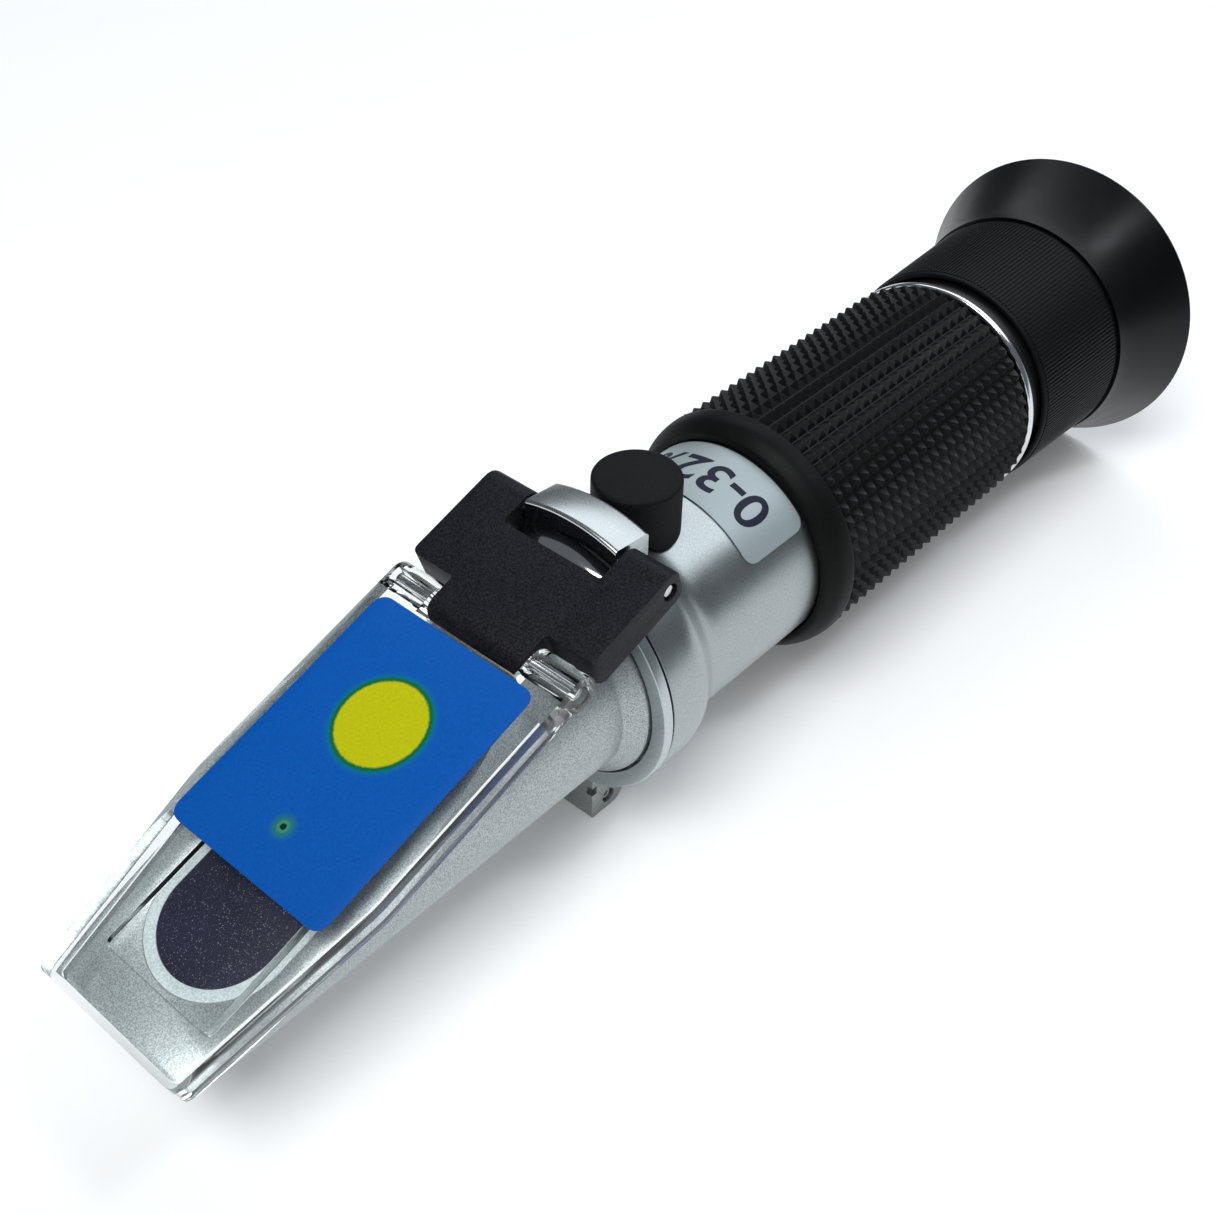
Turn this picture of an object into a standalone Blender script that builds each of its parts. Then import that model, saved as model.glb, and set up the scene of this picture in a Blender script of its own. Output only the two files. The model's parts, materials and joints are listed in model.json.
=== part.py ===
"""Hand-held refractometer, lying with its prism face up.

The barrel runs along X, from the eyecup at -X to the prism tip at +X.  The origin is the middle of the
bounding box, on the surface the instrument rests on.  Dimensions below are millimetres in the design
frame: stations are measured along the barrel axis from the eyecup rim, heights from the barrel axis.
The cover plate, the link and the prism face share the tilted wedge frame: "along" runs down the slope
towards the tip, and "level" is height above the outer face of the cover plate.
"""
import math

import bmesh
import bpy
from mathutils import Matrix, Vector

MM = 0.001
FINE = 48          # sides of the large turned parts
MEDIUM = 32        # sides of the small turned parts
SMALL = 20         # sides of pins, screws and their holes
GAP = 0.3          # clearance between neighbouring parts

# Wedge frame
SLOPE = math.radians(18.52)
WEDGE_STATION = 116.0
WEDGE_HEIGHT = 13.61
TIP_ALONG = 50.0

# Overall
EYECUP_RADIUS = 20.28
LENGTH = WEDGE_STATION + TIP_ALONG * math.cos(SLOPE)

# Barrel
BARREL_RADIUS = 12.75
BORE_RADIUS = 11.2
COLLAR_RADIUS = 15.0
BARREL_REAR = 32.0
BARREL_FRONT = 103.35
SHOULDER_FOOT = 94.2
SHOULDER_TOP = 97.9
SLEEVE_BORE = BARREL_RADIUS + GAP
BARREL_LABEL_STATIONS = (75.8, 85.7)
BARREL_LABEL_RADII = (12.81, 12.93)
BARREL_LABEL_LOW = 7.7

# Hinge ring and its pins
RING_REAR = 103.65
RING_FRONT = 104.9
RING_BORE = 13.15
BRACKET_HALF_WIDTH = 6.15
BRACKET_REAR = 98.1
BRACKET_FRONT = 103.2
OVERHANG_RADIUS = COLLAR_RADIUS + GAP
LUG_HALF_WIDTH = 5.1
LUG_REAR = 99.6
CLAMP_STATION = 102.0
CLAMP_HEIGHT = -18.5
CLAMP_HOLE = 0.95
CLAMP_SCREW_RADIUS = 0.68
CLAMP_SLIT_HALF = 0.4
NECK_OF_RING = 14.2
LINK_PIN_ALONG = -14.05
COVER_PIN_ALONG = -0.1
PIN_LEVEL = -2.05
KNUCKLE_RADIUS = 2.05
PIN_RADIUS = 0.72
PIN_HOLE = 1.0
PIN_HALF_LENGTH = 12.1

# Link and cover plate
LINK_HALF_WIDTH = 12.35
NOTCH_HALF_WIDTH = 6.65
NOTCH_ALONG = -10.65
TONGUE_HALF_WIDTH = 6.4
TONGUE_ROOT = -2.75
COVER_HALF_WIDTH = 12.55
COVER_TIP_HALF_WIDTH = 9.6
COVER_TAPER_ALONG = 27.4
COVER_DEPTH = 3.4
COVER_THICKNESS = 2.4
COVER_WALL = 1.3
TIP_WALL = 0.75
EAR_INNER = 6.75
EAR_BLOCK_END = 4.5
PAD_DEPTH = 3.55
PAD_HALF_WIDTH = 7.2
PAD_ALONG = (14.0, 44.7)
LABEL_ALONG = (2.9, 32.5)
LABEL_ACROSS = (-11.3, 10.2)

# Prism housing and prism
FACE_LEVEL = -3.85
HOUSING_RADIUS = 11.05
NECK_RADIUS = 12.85
SPIGOT_RADIUS = BORE_RADIUS - GAP
HOUSING_TIP_ALONG = 49.3
PRISM_RADIUS = 6.4
PRISM_CENTRES = (24.0, 36.4)
SEAL_WIDTH = 0.7
POCKET_RADIUS = PRISM_RADIUS + SEAL_WIDTH + 2 * GAP
POCKET_DEPTH = 3.0
CRADLE_SCREWS = (25.5, 33.5)
CRADLE_HOLE = 1.25
CRADLE_SCREW_RADIUS = 0.95
WELL_ALONG = (17.5, 38.5)
WELL_HALF_WIDTH = 5.3
WELL_LEVEL = -10.2
PRISM_ROOT_LEVEL = -9.0
PRISM_ROOT_HALF_WIDTH = 4.7
NECK_FOOT = 105.1
NECK_TOP = 106.9
SPIGOT_REAR = 97.0
LIGHT_BORE = 7.2
LIGHT_CHANNEL_RADIUS = 4.0

# Calibration screw, its cap and the objective it moves
SCREW_STATION = 92.8
CAP_RADIUS = 4.85
CAP_TOP = 19.0
CAP_BORE = 3.7
BOSS_RADIUS = 3.4
BOSS_TOP = 15.6
SCREW_HOLE = 1.55
SCREW_HEAD_RADIUS = 2.1
SCREW_SHANK_RADIUS = 1.25
OBJECTIVE_CELL_RADIUS = 10.0
OBJECTIVE_LENS_RADIUS = 8.0
ANCHOR_STATION = 60.5
ANCHOR_HOLE = 1.2
ANCHOR_SCREW_RADIUS = 0.9

# Grip, focus ring and eyepiece
GRIP_RADIUS = 15.1
GRIP_FRONT = 71.5
COLLAR_END = 75.45
END_RING_FRONT = 33.05
NOSE_RADIUS = 12.2
NECK_SLEEVE_RADIUS = 14.0
MOUNT_BORE = 9.9
TUBE_RADIUS = 9.6
TUBE_BORE = 7.6
EYEPIECE_LENS_RADIUS = 7.3
RETICLE_CELL_BORE = 6.5
RETICLE_RADIUS = 8.0
END_RING_RADIUS = 14.91
EYECUP_ROOT_RADIUS = 16.1
FOCUS_BORE = 12.75
FOCUS_SKIRT_BORE = 14.4
EYEHOLE_RADIUS = 8.8
FOCUS_REAR = 12.0
FOCUS_FRONT = 29.4


def design_frame(station=0.0, height=0.0):
    """Frame with X along the barrel at a station and height of the design frame."""
    return Matrix.Translation(Vector((station - LENGTH / 2, 0.0, height + EYECUP_RADIUS)) * MM)


AXIS = design_frame() @ Matrix.Rotation(math.pi / 2, 4, "Y")
SIDE = design_frame() @ Matrix.Rotation(math.pi / 2, 4, "X")
WEDGE = design_frame(WEDGE_STATION, WEDGE_HEIGHT) @ Matrix.Rotation(SLOPE, 4, "Y")
WEDGE_SIDE = WEDGE @ Matrix.Rotation(math.pi / 2, 4, "X")


def clear_scene():
    for old in list(bpy.data.objects):
        bpy.data.objects.remove(old, do_unlink=True)


def new_collection(name):
    collection = bpy.data.collections.new(name)
    bpy.context.scene.collection.children.link(collection)
    return collection


clear_scene()
PARTS = new_collection("refractometer")
CUTTERS = new_collection("cutters")


def finish(name, colour, roughness, metallic=0.0, transmission=0.0):
    material = bpy.data.materials.new(name)
    material.use_nodes = True
    shader = material.node_tree.nodes["Principled BSDF"]
    shader.inputs["Base Color"].default_value = (*colour, 1.0)
    shader.inputs["Roughness"].default_value = roughness
    shader.inputs["Metallic"].default_value = metallic
    shader.inputs["Transmission Weight"].default_value = transmission
    return material


SATIN = ("satin_aluminium", (0.62, 0.65, 0.66), 0.38, 1.0)
CHROME = ("polished_steel", (0.78, 0.79, 0.80), 0.12, 1.0)
STEEL = ("plain_steel", (0.55, 0.56, 0.58), 0.3, 1.0)
BLACK_PLASTIC = ("black_plastic", (0.012, 0.012, 0.018), 0.5)
BLACK_ANODISED = ("black_anodised", (0.012, 0.012, 0.013), 0.42, 0.4)
RUBBER = ("black_rubber", (0.010, 0.010, 0.011), 0.6)
ACRYLIC = ("clear_acrylic", (0.93, 0.96, 0.95), 0.05, 0.0, 1.0)
GLASS = ("optical_glass", (0.95, 0.97, 0.98), 0.02, 0.0, 1.0)
PRISM_GLASS = ("prism_glass", (0.02, 0.02, 0.045), 0.25)
BLUE_FILM = ("blue_film", (0.0, 0.10, 0.48), 0.45)
SILVER_FILM = ("silver_film", (0.60, 0.65, 0.67), 0.35)
SEALANT = ("grey_sealant", (0.35, 0.38, 0.38), 0.5)
BIMETAL = ("bimetal", (0.55, 0.42, 0.25), 0.35, 1.0)


def add_object(name, mesh, frame, look=None, axis=None):
    """Put a mesh in the scene: a part when it has a look, otherwise a hidden cutter."""
    thing = bpy.data.objects.new(name, mesh)
    (PARTS if look else CUTTERS).objects.link(thing)
    thing.matrix_world = frame
    if look:
        mesh.materials.append(bpy.data.materials.get(look[0]) or finish(*look))
    else:
        thing.hide_render = True
        thing.display_type = "WIRE"
    if axis:
        thing.parent = axis
        thing.matrix_parent_inverse = axis.matrix_world.inverted()
    return thing


def add_axis(name, frame, parent=None):
    """Empty on a joint's axis, which the pieces that turn or slide with it hang from."""
    empty = bpy.data.objects.new(name, None)
    empty.empty_display_size = 5 * MM
    PARTS.objects.link(empty)
    empty.matrix_world = frame
    bpy.context.view_layer.update()
    if parent:
        empty.parent = parent
        empty.matrix_parent_inverse = parent.matrix_world.inverted()
        bpy.context.view_layer.update()
    return empty


def boolean(target, operation, *tools):
    for tool in tools:
        step = target.modifiers.new(f"{operation.lower()}_{tool.name}", "BOOLEAN")
        step.operation = operation
        step.solver = "EXACT"
        step.object = tool


def turned(name, profile, look=None, frame=AXIS, sides=FINE, axis=None):
    """Solid of revolution about local Z from (radius, station) points, outer side first, high to low."""
    closed = profile[0][0] > 0.0
    points = [(radius * MM, 0.0, station * MM) for radius, station in profile]
    edges = [(index, index + 1) for index in range(len(points) - 1)]
    if closed:
        edges.append((len(points) - 1, 0))
    mesh = bpy.data.meshes.new(name)
    mesh.from_pydata(points, edges, [])
    thing = add_object(name, mesh, frame, look, axis)
    screw = thing.modifiers.new("turn", "SCREW")
    screw.axis = "Z"
    screw.angle = 2 * math.pi
    screw.steps = sides
    screw.render_steps = sides
    screw.use_merge_vertices = True
    screw.merge_threshold = 0.000001
    return thing


def rod(name, start, end, radius, look=None, frame=None, sides=SMALL, axis=None):
    """Round bar between two points of a frame."""
    start = Vector(start)
    end = Vector(end)
    length = (end - start).length
    shape = bmesh.new()
    turn = Vector((0, 0, 1)).rotation_difference(end - start).to_matrix().to_4x4()
    place = Matrix.Translation((start + end) / 2 * MM) @ turn
    bmesh.ops.create_cone(shape, cap_ends=True, segments=sides, radius1=radius * MM,
                          radius2=radius * MM, depth=length * MM, matrix=place)
    mesh = bpy.data.meshes.new(name)
    shape.to_mesh(mesh)
    shape.free()
    return add_object(name, mesh, frame or design_frame(), look, axis)


def block(name, low, high, look=None, frame=None, axis=None):
    """Box between two corners of a frame."""
    low = Vector(low)
    high = Vector(high)
    size = high - low
    shape = bmesh.new()
    place = Matrix.Translation((low + high) / 2 * MM) @ Matrix.Diagonal((*(size * MM), 1.0))
    bmesh.ops.create_cube(shape, size=1.0, matrix=place)
    mesh = bpy.data.meshes.new(name)
    shape.to_mesh(mesh)
    shape.free()
    return add_object(name, mesh, frame or design_frame(), look, axis)


def outline(name, loops, low, high, look=None, frame=None, axis=None):
    """Flat outline, with any inner loops as holes, extruded along local Z from low to high."""
    curve = bpy.data.curves.new(name, "CURVE")
    curve.dimensions = "2D"
    curve.fill_mode = "BOTH"
    curve.extrude = (high - low) / 2 * MM
    for loop in loops:
        spline = curve.splines.new("POLY")
        spline.points.add(len(loop) - 1)
        for point, (u, v) in zip(spline.points, loop):
            point.co = (u * MM, v * MM, 0.0, 1.0)
        spline.use_cyclic_u = True
    flat = bpy.data.objects.new(name + "_outline", curve)
    bpy.context.scene.collection.objects.link(flat)
    flat.matrix_world = (frame or design_frame()) @ Matrix.Translation((0, 0, (low + high) / 2 * MM))
    bpy.context.view_layer.update()
    graph = bpy.context.evaluated_depsgraph_get()
    mesh = bpy.data.meshes.new_from_object(flat.evaluated_get(graph))
    shape = bmesh.new()
    shape.from_mesh(mesh)
    bmesh.ops.remove_doubles(shape, verts=shape.verts, dist=0.000001)
    bmesh.ops.recalc_face_normals(shape, faces=shape.faces)
    shape.to_mesh(mesh)
    shape.free()
    mesh.materials.clear()
    place = flat.matrix_world.copy()
    bpy.data.objects.remove(flat, do_unlink=True)
    return add_object(name, mesh, place, look, axis)


def arc(centre, radius, start, end, steps):
    """Points of an arc, with angles in degrees."""
    angles = [math.radians(start + (end - start) * step / steps) for step in range(steps + 1)]
    return [(centre[0] + radius * math.cos(a), centre[1] + radius * math.sin(a)) for a in angles]


def rounded_rectangle(low, high, radius, steps=3):
    (u0, v0), (u1, v1) = low, high
    return (arc((u1 - radius, v1 - radius), radius, 0, 90, steps)
            + arc((u0 + radius, v1 - radius), radius, 90, 180, steps)
            + arc((u0 + radius, v0 + radius), radius, 180, 270, steps)
            + arc((u1 - radius, v0 + radius), radius, 270, 360, steps))


def stadium(ends, radius, steps=12):
    return (arc((ends[1], 0.0), radius, -90, 90, steps) + arc((ends[0], 0.0), radius, 90, 270, steps))


def make_barrel():
    shoulder = [(COLLAR_RADIUS, SHOULDER_TOP + 0.6), (COLLAR_RADIUS - 0.15, SHOULDER_TOP - 0.1),
                (COLLAR_RADIUS - 0.75, SHOULDER_TOP - 1.1), (BARREL_RADIUS + 0.35, SHOULDER_FOOT + 0.9),
                (BARREL_RADIUS, SHOULDER_FOOT)]
    profile = ([(COLLAR_RADIUS - 0.2, BARREL_FRONT), (COLLAR_RADIUS, BARREL_FRONT - 0.2)] + shoulder
               + [(BARREL_RADIUS, BARREL_REAR), (BORE_RADIUS, BARREL_REAR), (BORE_RADIUS, BARREL_FRONT)])
    barrel = turned("barrel", profile, SATIN)
    boss = rod("barrel_boss", (SCREW_STATION, 0, 11.9), (SCREW_STATION, 0, BOSS_TOP), BOSS_RADIUS,
               sides=MEDIUM)
    screw_hole = rod("barrel_screw_hole", (SCREW_STATION, 0, 9.0), (SCREW_STATION, 0, 18.0), SCREW_HOLE)
    anchor_hole = rod("barrel_anchor_hole", (ANCHOR_STATION, 0, 10.0), (ANCHOR_STATION, 0, 14.0),
                      ANCHOR_HOLE)
    boolean(barrel, "UNION", boss)
    boolean(barrel, "DIFFERENCE", screw_hole, anchor_hole)


def make_barrel_label():
    rear, front = BARREL_LABEL_STATIONS
    inner, outer = BARREL_LABEL_RADII
    film = turned("barrel_label", [(outer, front), (outer, rear), (inner, rear), (inner, front)],
                  SILVER_FILM)
    window = block("barrel_label_window", (70, -15, BARREL_LABEL_LOW), (90, 15, 15))
    boolean(film, "INTERSECT", window)


def make_hinge_ring():
    band = [(COLLAR_RADIUS - 0.25, RING_FRONT), (COLLAR_RADIUS, RING_FRONT - 0.25),
            (COLLAR_RADIUS, RING_REAR), (RING_BORE, RING_REAR), (RING_BORE, RING_FRONT)]
    ring = turned("hinge_ring", band, CHROME)
    fillet = RING_FRONT - BRACKET_FRONT
    hollow = [(radius, station) for station, radius in
              arc((RING_FRONT, OVERHANG_RADIUS + fillet), fillet, 270, 180, 6)]
    crown = ([(NECK_OF_RING, RING_FRONT)] + hollow
             + [(19.15, BRACKET_FRONT), (19.45, BRACKET_FRONT - 0.4), (19.0, BRACKET_REAR + 0.2),
                (18.8, BRACKET_REAR), (OVERHANG_RADIUS, BRACKET_REAR), (OVERHANG_RADIUS, RING_REAR),
                (NECK_OF_RING, RING_REAR)])
    bracket = turned("bracket_shape", crown)
    bracket_sides = block("bracket_sides", (90, -BRACKET_HALF_WIDTH, 5), (110, BRACKET_HALF_WIDTH, 30))
    boolean(bracket, "INTERSECT", bracket_sides)
    bottom = -EYECUP_RADIUS
    lug_side = ([(RING_FRONT - 0.15, -13.0), (RING_FRONT - 0.15, bottom + 0.3),
                 (RING_FRONT - 0.45, bottom)]
                + arc((LUG_REAR + 1.4, bottom + 1.4), 1.4, 270, 180, 4) + [(LUG_REAR, -13.0)])
    lug = outline("lug_shape", [lug_side], -LUG_HALF_WIDTH, LUG_HALF_WIDTH, frame=SIDE)
    collar_room = turned("collar_room", [(0, RING_REAR), (OVERHANG_RADIUS, RING_REAR),
                                         (OVERHANG_RADIUS, 90), (0, 90)])
    neck_room = turned("neck_room", [(0, 110), (RING_BORE, 110), (RING_BORE, 100), (0, 100)])
    boolean(lug, "DIFFERENCE", collar_room, neck_room)
    pin_hole = rod("bracket_pin_hole", (LINK_PIN_ALONG, -9, PIN_LEVEL), (LINK_PIN_ALONG, 9, PIN_LEVEL),
                   PIN_HOLE, frame=WEDGE)
    clamp_hole = rod("clamp_hole", (CLAMP_STATION, -9, CLAMP_HEIGHT), (CLAMP_STATION, 9, CLAMP_HEIGHT),
                     CLAMP_HOLE)
    slit = block("clamp_slit", (95, -CLAMP_SLIT_HALF, -25), (110, CLAMP_SLIT_HALF, -12.5))
    relief = block("lug_relief", (RING_FRONT - 0.9, LUG_HALF_WIDTH - 0.9, -16.6), (110, 9, -15.4))
    boolean(ring, "UNION", bracket, lug)
    boolean(ring, "DIFFERENCE", pin_hole, clamp_hole, slit, relief)


def make_clamp_screw():
    reach = LUG_HALF_WIDTH - 0.35
    screw = rod("clamp_screw", (CLAMP_STATION, -reach, CLAMP_HEIGHT), (CLAMP_STATION, reach, CLAMP_HEIGHT),
                CLAMP_SCREW_RADIUS, STEEL)
    socket = rod("clamp_socket", (CLAMP_STATION, reach - 0.9, CLAMP_HEIGHT),
                 (CLAMP_STATION, reach + 1, CLAMP_HEIGHT), 0.38, sides=6)
    boolean(screw, "DIFFERENCE", socket)


def make_housing():
    profile = [(0, 165), (HOUSING_RADIUS, 165), (HOUSING_RADIUS, NECK_TOP), (NECK_RADIUS, NECK_FOOT),
               (NECK_RADIUS, RING_REAR), (SPIGOT_RADIUS, RING_REAR), (SPIGOT_RADIUS, SPIGOT_REAR),
               (LIGHT_BORE, SPIGOT_REAR), (LIGHT_BORE, 119.5), (0, 119.5)]
    housing = turned("prism_housing", profile, SATIN)
    above_face = block("above_face", (-30, -20, FACE_LEVEL), (70, 20, 40), frame=WEDGE)
    beyond_tip = block("beyond_tip", (HOUSING_TIP_ALONG, -20, -40), (80, 20, 40), frame=WEDGE)
    pocket = outline("prism_pocket", [stadium(PRISM_CENTRES, POCKET_RADIUS)], FACE_LEVEL - POCKET_DEPTH,
                     FACE_LEVEL + 2, frame=WEDGE)
    well = block("prism_well", (WELL_ALONG[0], -WELL_HALF_WIDTH, WELL_LEVEL),
                 (WELL_ALONG[1], WELL_HALF_WIDTH, FACE_LEVEL), frame=WEDGE)
    channel = rod("light_channel", (118.5, 0, -1.0), (134.0, 0, -1.0), LIGHT_CHANNEL_RADIUS)
    room = KNUCKLE_RADIUS + GAP
    link_side = (arc((COVER_PIN_ALONG, PIN_LEVEL), room, -90, 0, 6)
                 + [(COVER_PIN_ALONG + room, 5), (-20, 5), (-20, PIN_LEVEL - room)])
    link_room = outline("link_room", [link_side], -14, 14, frame=WEDGE_SIDE)
    boolean(housing, "DIFFERENCE", above_face, beyond_tip, pocket, well, channel, link_room)
    for number, along in enumerate(CRADLE_SCREWS):
        hole = rod(f"cradle_screw_hole_{number}", (along, 0, -9.0), (along, 0, -30), CRADLE_HOLE,
                   frame=WEDGE)
        boolean(housing, "DIFFERENCE", hole)


def make_prism():
    prism = outline("main_prism", [stadium(PRISM_CENTRES, PRISM_RADIUS)], FACE_LEVEL - 2.2, FACE_LEVEL,
                    PRISM_GLASS, frame=WEDGE)
    root_side = [(19.0, FACE_LEVEL - 1.0), (23.5, PRISM_ROOT_LEVEL), (37.5, PRISM_ROOT_LEVEL),
                 (37.5, FACE_LEVEL - 1.0)]
    root = outline("prism_root", [root_side], -PRISM_ROOT_HALF_WIDTH, PRISM_ROOT_HALF_WIDTH,
                   frame=WEDGE_SIDE)
    boolean(prism, "UNION", root)
    inner = PRISM_RADIUS + GAP
    outline("prism_seal", [stadium(PRISM_CENTRES, inner + SEAL_WIDTH), stadium(PRISM_CENTRES, inner)],
            FACE_LEVEL - 1.8, FACE_LEVEL, SEALANT, frame=WEDGE)
    block("prism_cradle", (20.0, -4.9, -9.9), (38.2, 4.9, -9.3), BLACK_ANODISED, frame=WEDGE)
    for place, along in zip(("rear", "front"), CRADLE_SCREWS):
        drop = -WEDGE_HEIGHT + along * math.sin(SLOPE) - HOUSING_RADIUS
        low = drop / math.cos(SLOPE) + 0.6
        screw = rod(f"cradle_screw_{place}", (along, 0, low), (along, 0, -10.2), CRADLE_SCREW_RADIUS, STEEL,
                    frame=WEDGE)
        socket = rod(f"cradle_socket_{place}", (along, 0, low - 1), (along, 0, low + 0.9), 0.5,
                     frame=WEDGE, sides=6)
        boolean(screw, "DIFFERENCE", socket)


def make_link(axis):
    side = (arc((COVER_PIN_ALONG, PIN_LEVEL), KNUCKLE_RADIUS, -90, 90, 8)
            + arc((LINK_PIN_ALONG, PIN_LEVEL), KNUCKLE_RADIUS, 90, 270, 8))
    link = outline("hinge_link", [side], -LINK_HALF_WIDTH, LINK_HALF_WIDTH, BLACK_PLASTIC,
                   frame=WEDGE_SIDE, axis=axis)
    notch = block("link_notch", (-20, -NOTCH_HALF_WIDTH, -9), (NOTCH_ALONG, NOTCH_HALF_WIDTH, 5),
                  frame=WEDGE)
    left = block("link_left", (TONGUE_ROOT, -20, -9), (9, -TONGUE_HALF_WIDTH, 5), frame=WEDGE)
    right = block("link_right", (TONGUE_ROOT, TONGUE_HALF_WIDTH, -9), (9, 20, 5), frame=WEDGE)
    ring_room = turned("ring_room", [(0, 105.4), (OVERHANG_RADIUS + 0.05, 105.4),
                                     (OVERHANG_RADIUS + 0.05, 90), (0, 90)])
    rear_hole = rod("link_rear_hole", (LINK_PIN_ALONG, -15, PIN_LEVEL), (LINK_PIN_ALONG, 15, PIN_LEVEL),
                    PIN_HOLE, frame=WEDGE)
    front_hole = rod("link_front_hole", (COVER_PIN_ALONG, -15, PIN_LEVEL),
                     (COVER_PIN_ALONG, 15, PIN_LEVEL), PIN_HOLE, frame=WEDGE)
    boolean(link, "DIFFERENCE", notch, left, right, ring_room, rear_hole, front_hole)
    for name, along in (("link_pin", LINK_PIN_ALONG), ("cover_pin", COVER_PIN_ALONG)):
        rod(name, (along, -PIN_HALF_LENGTH, PIN_LEVEL), (along, PIN_HALF_LENGTH, PIN_LEVEL), PIN_RADIUS,
            CHROME, frame=WEDGE, axis=axis)


def cover_outline(inset, rear, tip):
    """Plan of the cover plate: parallel sides, then a taper to the tip with small round corners."""
    wide = COVER_HALF_WIDTH - inset
    narrow = COVER_TIP_HALF_WIDTH - inset
    corner = 0.8
    left = arc((tip - corner, corner - narrow), corner, 0, -75, 3)
    half = left + [(COVER_TAPER_ALONG, -wide), (rear, -wide)]
    return half + [(along, -across) for along, across in reversed(half)]


def make_cover(axis):
    cover = outline("cover_plate", [cover_outline(0.0, COVER_PIN_ALONG, TIP_ALONG)], -COVER_DEPTH, 0.0,
                    ACRYLIC, frame=WEDGE, axis=axis)
    hollow = outline("cover_hollow", [cover_outline(COVER_WALL, EAR_BLOCK_END, TIP_ALONG - TIP_WALL)],
                     -9.0, -COVER_THICKNESS, frame=WEDGE)
    pad = outline("cover_pad", [rounded_rectangle((PAD_ALONG[0], -PAD_HALF_WIDTH),
                                                  (PAD_ALONG[1], PAD_HALF_WIDTH), 0.8)],
                  -PAD_DEPTH, -COVER_THICKNESS + 0.5, frame=WEDGE)
    knuckles = rod("cover_knuckles", (COVER_PIN_ALONG, -COVER_HALF_WIDTH, PIN_LEVEL),
                   (COVER_PIN_ALONG, COVER_HALF_WIDTH, PIN_LEVEL), KNUCKLE_RADIUS, frame=WEDGE, sides=FINE)
    slot = block("cover_slot", (-9, -EAR_INNER, -9), (2.4, EAR_INNER, 9), frame=WEDGE)
    pin_hole = rod("cover_pin_hole", (COVER_PIN_ALONG, -15, PIN_LEVEL), (COVER_PIN_ALONG, 15, PIN_LEVEL),
                   PIN_HOLE, frame=WEDGE)
    boolean(cover, "DIFFERENCE", hollow)
    boolean(cover, "UNION", pad, knuckles)
    boolean(cover, "DIFFERENCE", slot, pin_hole)
    outline("cover_label", [rounded_rectangle((LABEL_ALONG[0], LABEL_ACROSS[0]),
                                              (LABEL_ALONG[1], LABEL_ACROSS[1]), 1.6)],
            0.03, 0.13, BLUE_FILM, frame=WEDGE, axis=axis)


def make_cap(axis):
    upright = design_frame(SCREW_STATION)
    crown = [(radius, height) for height, radius in
             arc((CAP_TOP - 0.6, CAP_RADIUS - 0.6), 0.6, 0, 90, 3)]
    cap = turned("calibration_cap", [(0, CAP_TOP)] + crown
                 + [(CAP_RADIUS, 10.0), (CAP_BORE, 10.0), (CAP_BORE, 17.2), (0, 17.2)],
                 RUBBER, frame=upright, sides=MEDIUM, axis=axis)
    barrel_room = turned("barrel_room", [
        (0, 110), (COLLAR_RADIUS + GAP, 110), (COLLAR_RADIUS + GAP, SHOULDER_TOP - 0.2),
        (COLLAR_RADIUS - 0.75 + GAP, SHOULDER_TOP - 1.3), (BARREL_RADIUS + GAP + 0.05, SHOULDER_FOOT + 0.2),
        (BARREL_RADIUS + GAP, SHOULDER_FOOT - 0.2), (BARREL_RADIUS + GAP, 80), (0, 80)])
    boolean(cap, "DIFFERENCE", barrel_room)


def make_calibration_screw(axis):
    upright = design_frame(SCREW_STATION)
    screw = turned("calibration_screw", [
        (0, 16.8), (SCREW_HEAD_RADIUS - 0.2, 16.8), (SCREW_HEAD_RADIUS, 16.6), (SCREW_HEAD_RADIUS, 15.9),
        (SCREW_SHANK_RADIUS, 15.9), (SCREW_SHANK_RADIUS, 11.0), (SCREW_SHANK_RADIUS - 0.25, 10.8),
        (0, 10.8)],
        STEEL, frame=upright, sides=SMALL, axis=axis)
    slot = block("screw_slot", (-3, -0.3, 16.3), (3, 0.3, 18), frame=upright)
    boolean(screw, "DIFFERENCE", slot)


def lens_profile(radius, rear, front, rear_bulge, front_bulge, steps=4):
    """Edge and two domed faces of a lens, as (radius, station) points."""
    def dome(edge, bulge):
        return [(radius * step / steps, edge + bulge * (1 - (step / steps) ** 2))
                for step in range(steps + 1)]
    return dome(front, front_bulge) + list(reversed(dome(rear, -rear_bulge)))


def make_objective(axis):
    turned("objective_cell", [
        (OBJECTIVE_CELL_RADIUS, 95.0), (OBJECTIVE_CELL_RADIUS, 84.0), (6.5, 84.0), (6.5, 87.2),
        (8.3, 87.2), (8.3, 95.0)], BLACK_ANODISED, sides=MEDIUM, axis=axis)
    turned("objective_lens", lens_profile(OBJECTIVE_LENS_RADIUS, 88.6, 90.4, 1.0, 1.0), GLASS,
           sides=MEDIUM, axis=axis)
    turned("objective_retainer", [(OBJECTIVE_LENS_RADIUS, 93.6), (OBJECTIVE_LENS_RADIUS, 91.7), (6.6, 91.7),
                                  (6.6, 93.6)], BLACK_ANODISED, sides=MEDIUM, axis=axis)
    block("bimetal_strip", (63.5, -2.0, 9.1), (83.7, 2.0, 9.6), BIMETAL, axis=axis)
    anchor = block("strip_anchor", (58.0, -2.5, 8.5), (63.0, 2.5, 10.5), STEEL)
    anchor_hole = rod("anchor_hole", (ANCHOR_STATION, 0, 8.0), (ANCHOR_STATION, 0, 11.0), ANCHOR_HOLE)
    boolean(anchor, "DIFFERENCE", anchor_hole)
    rod("anchor_screw", (ANCHOR_STATION, 0, 8.8), (ANCHOR_STATION, 0, 12.5), ANCHOR_SCREW_RADIUS, STEEL)
    block("return_spring", (85.5, -1.8, -10.85), (93.5, 1.8, -10.6), STEEL)


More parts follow.
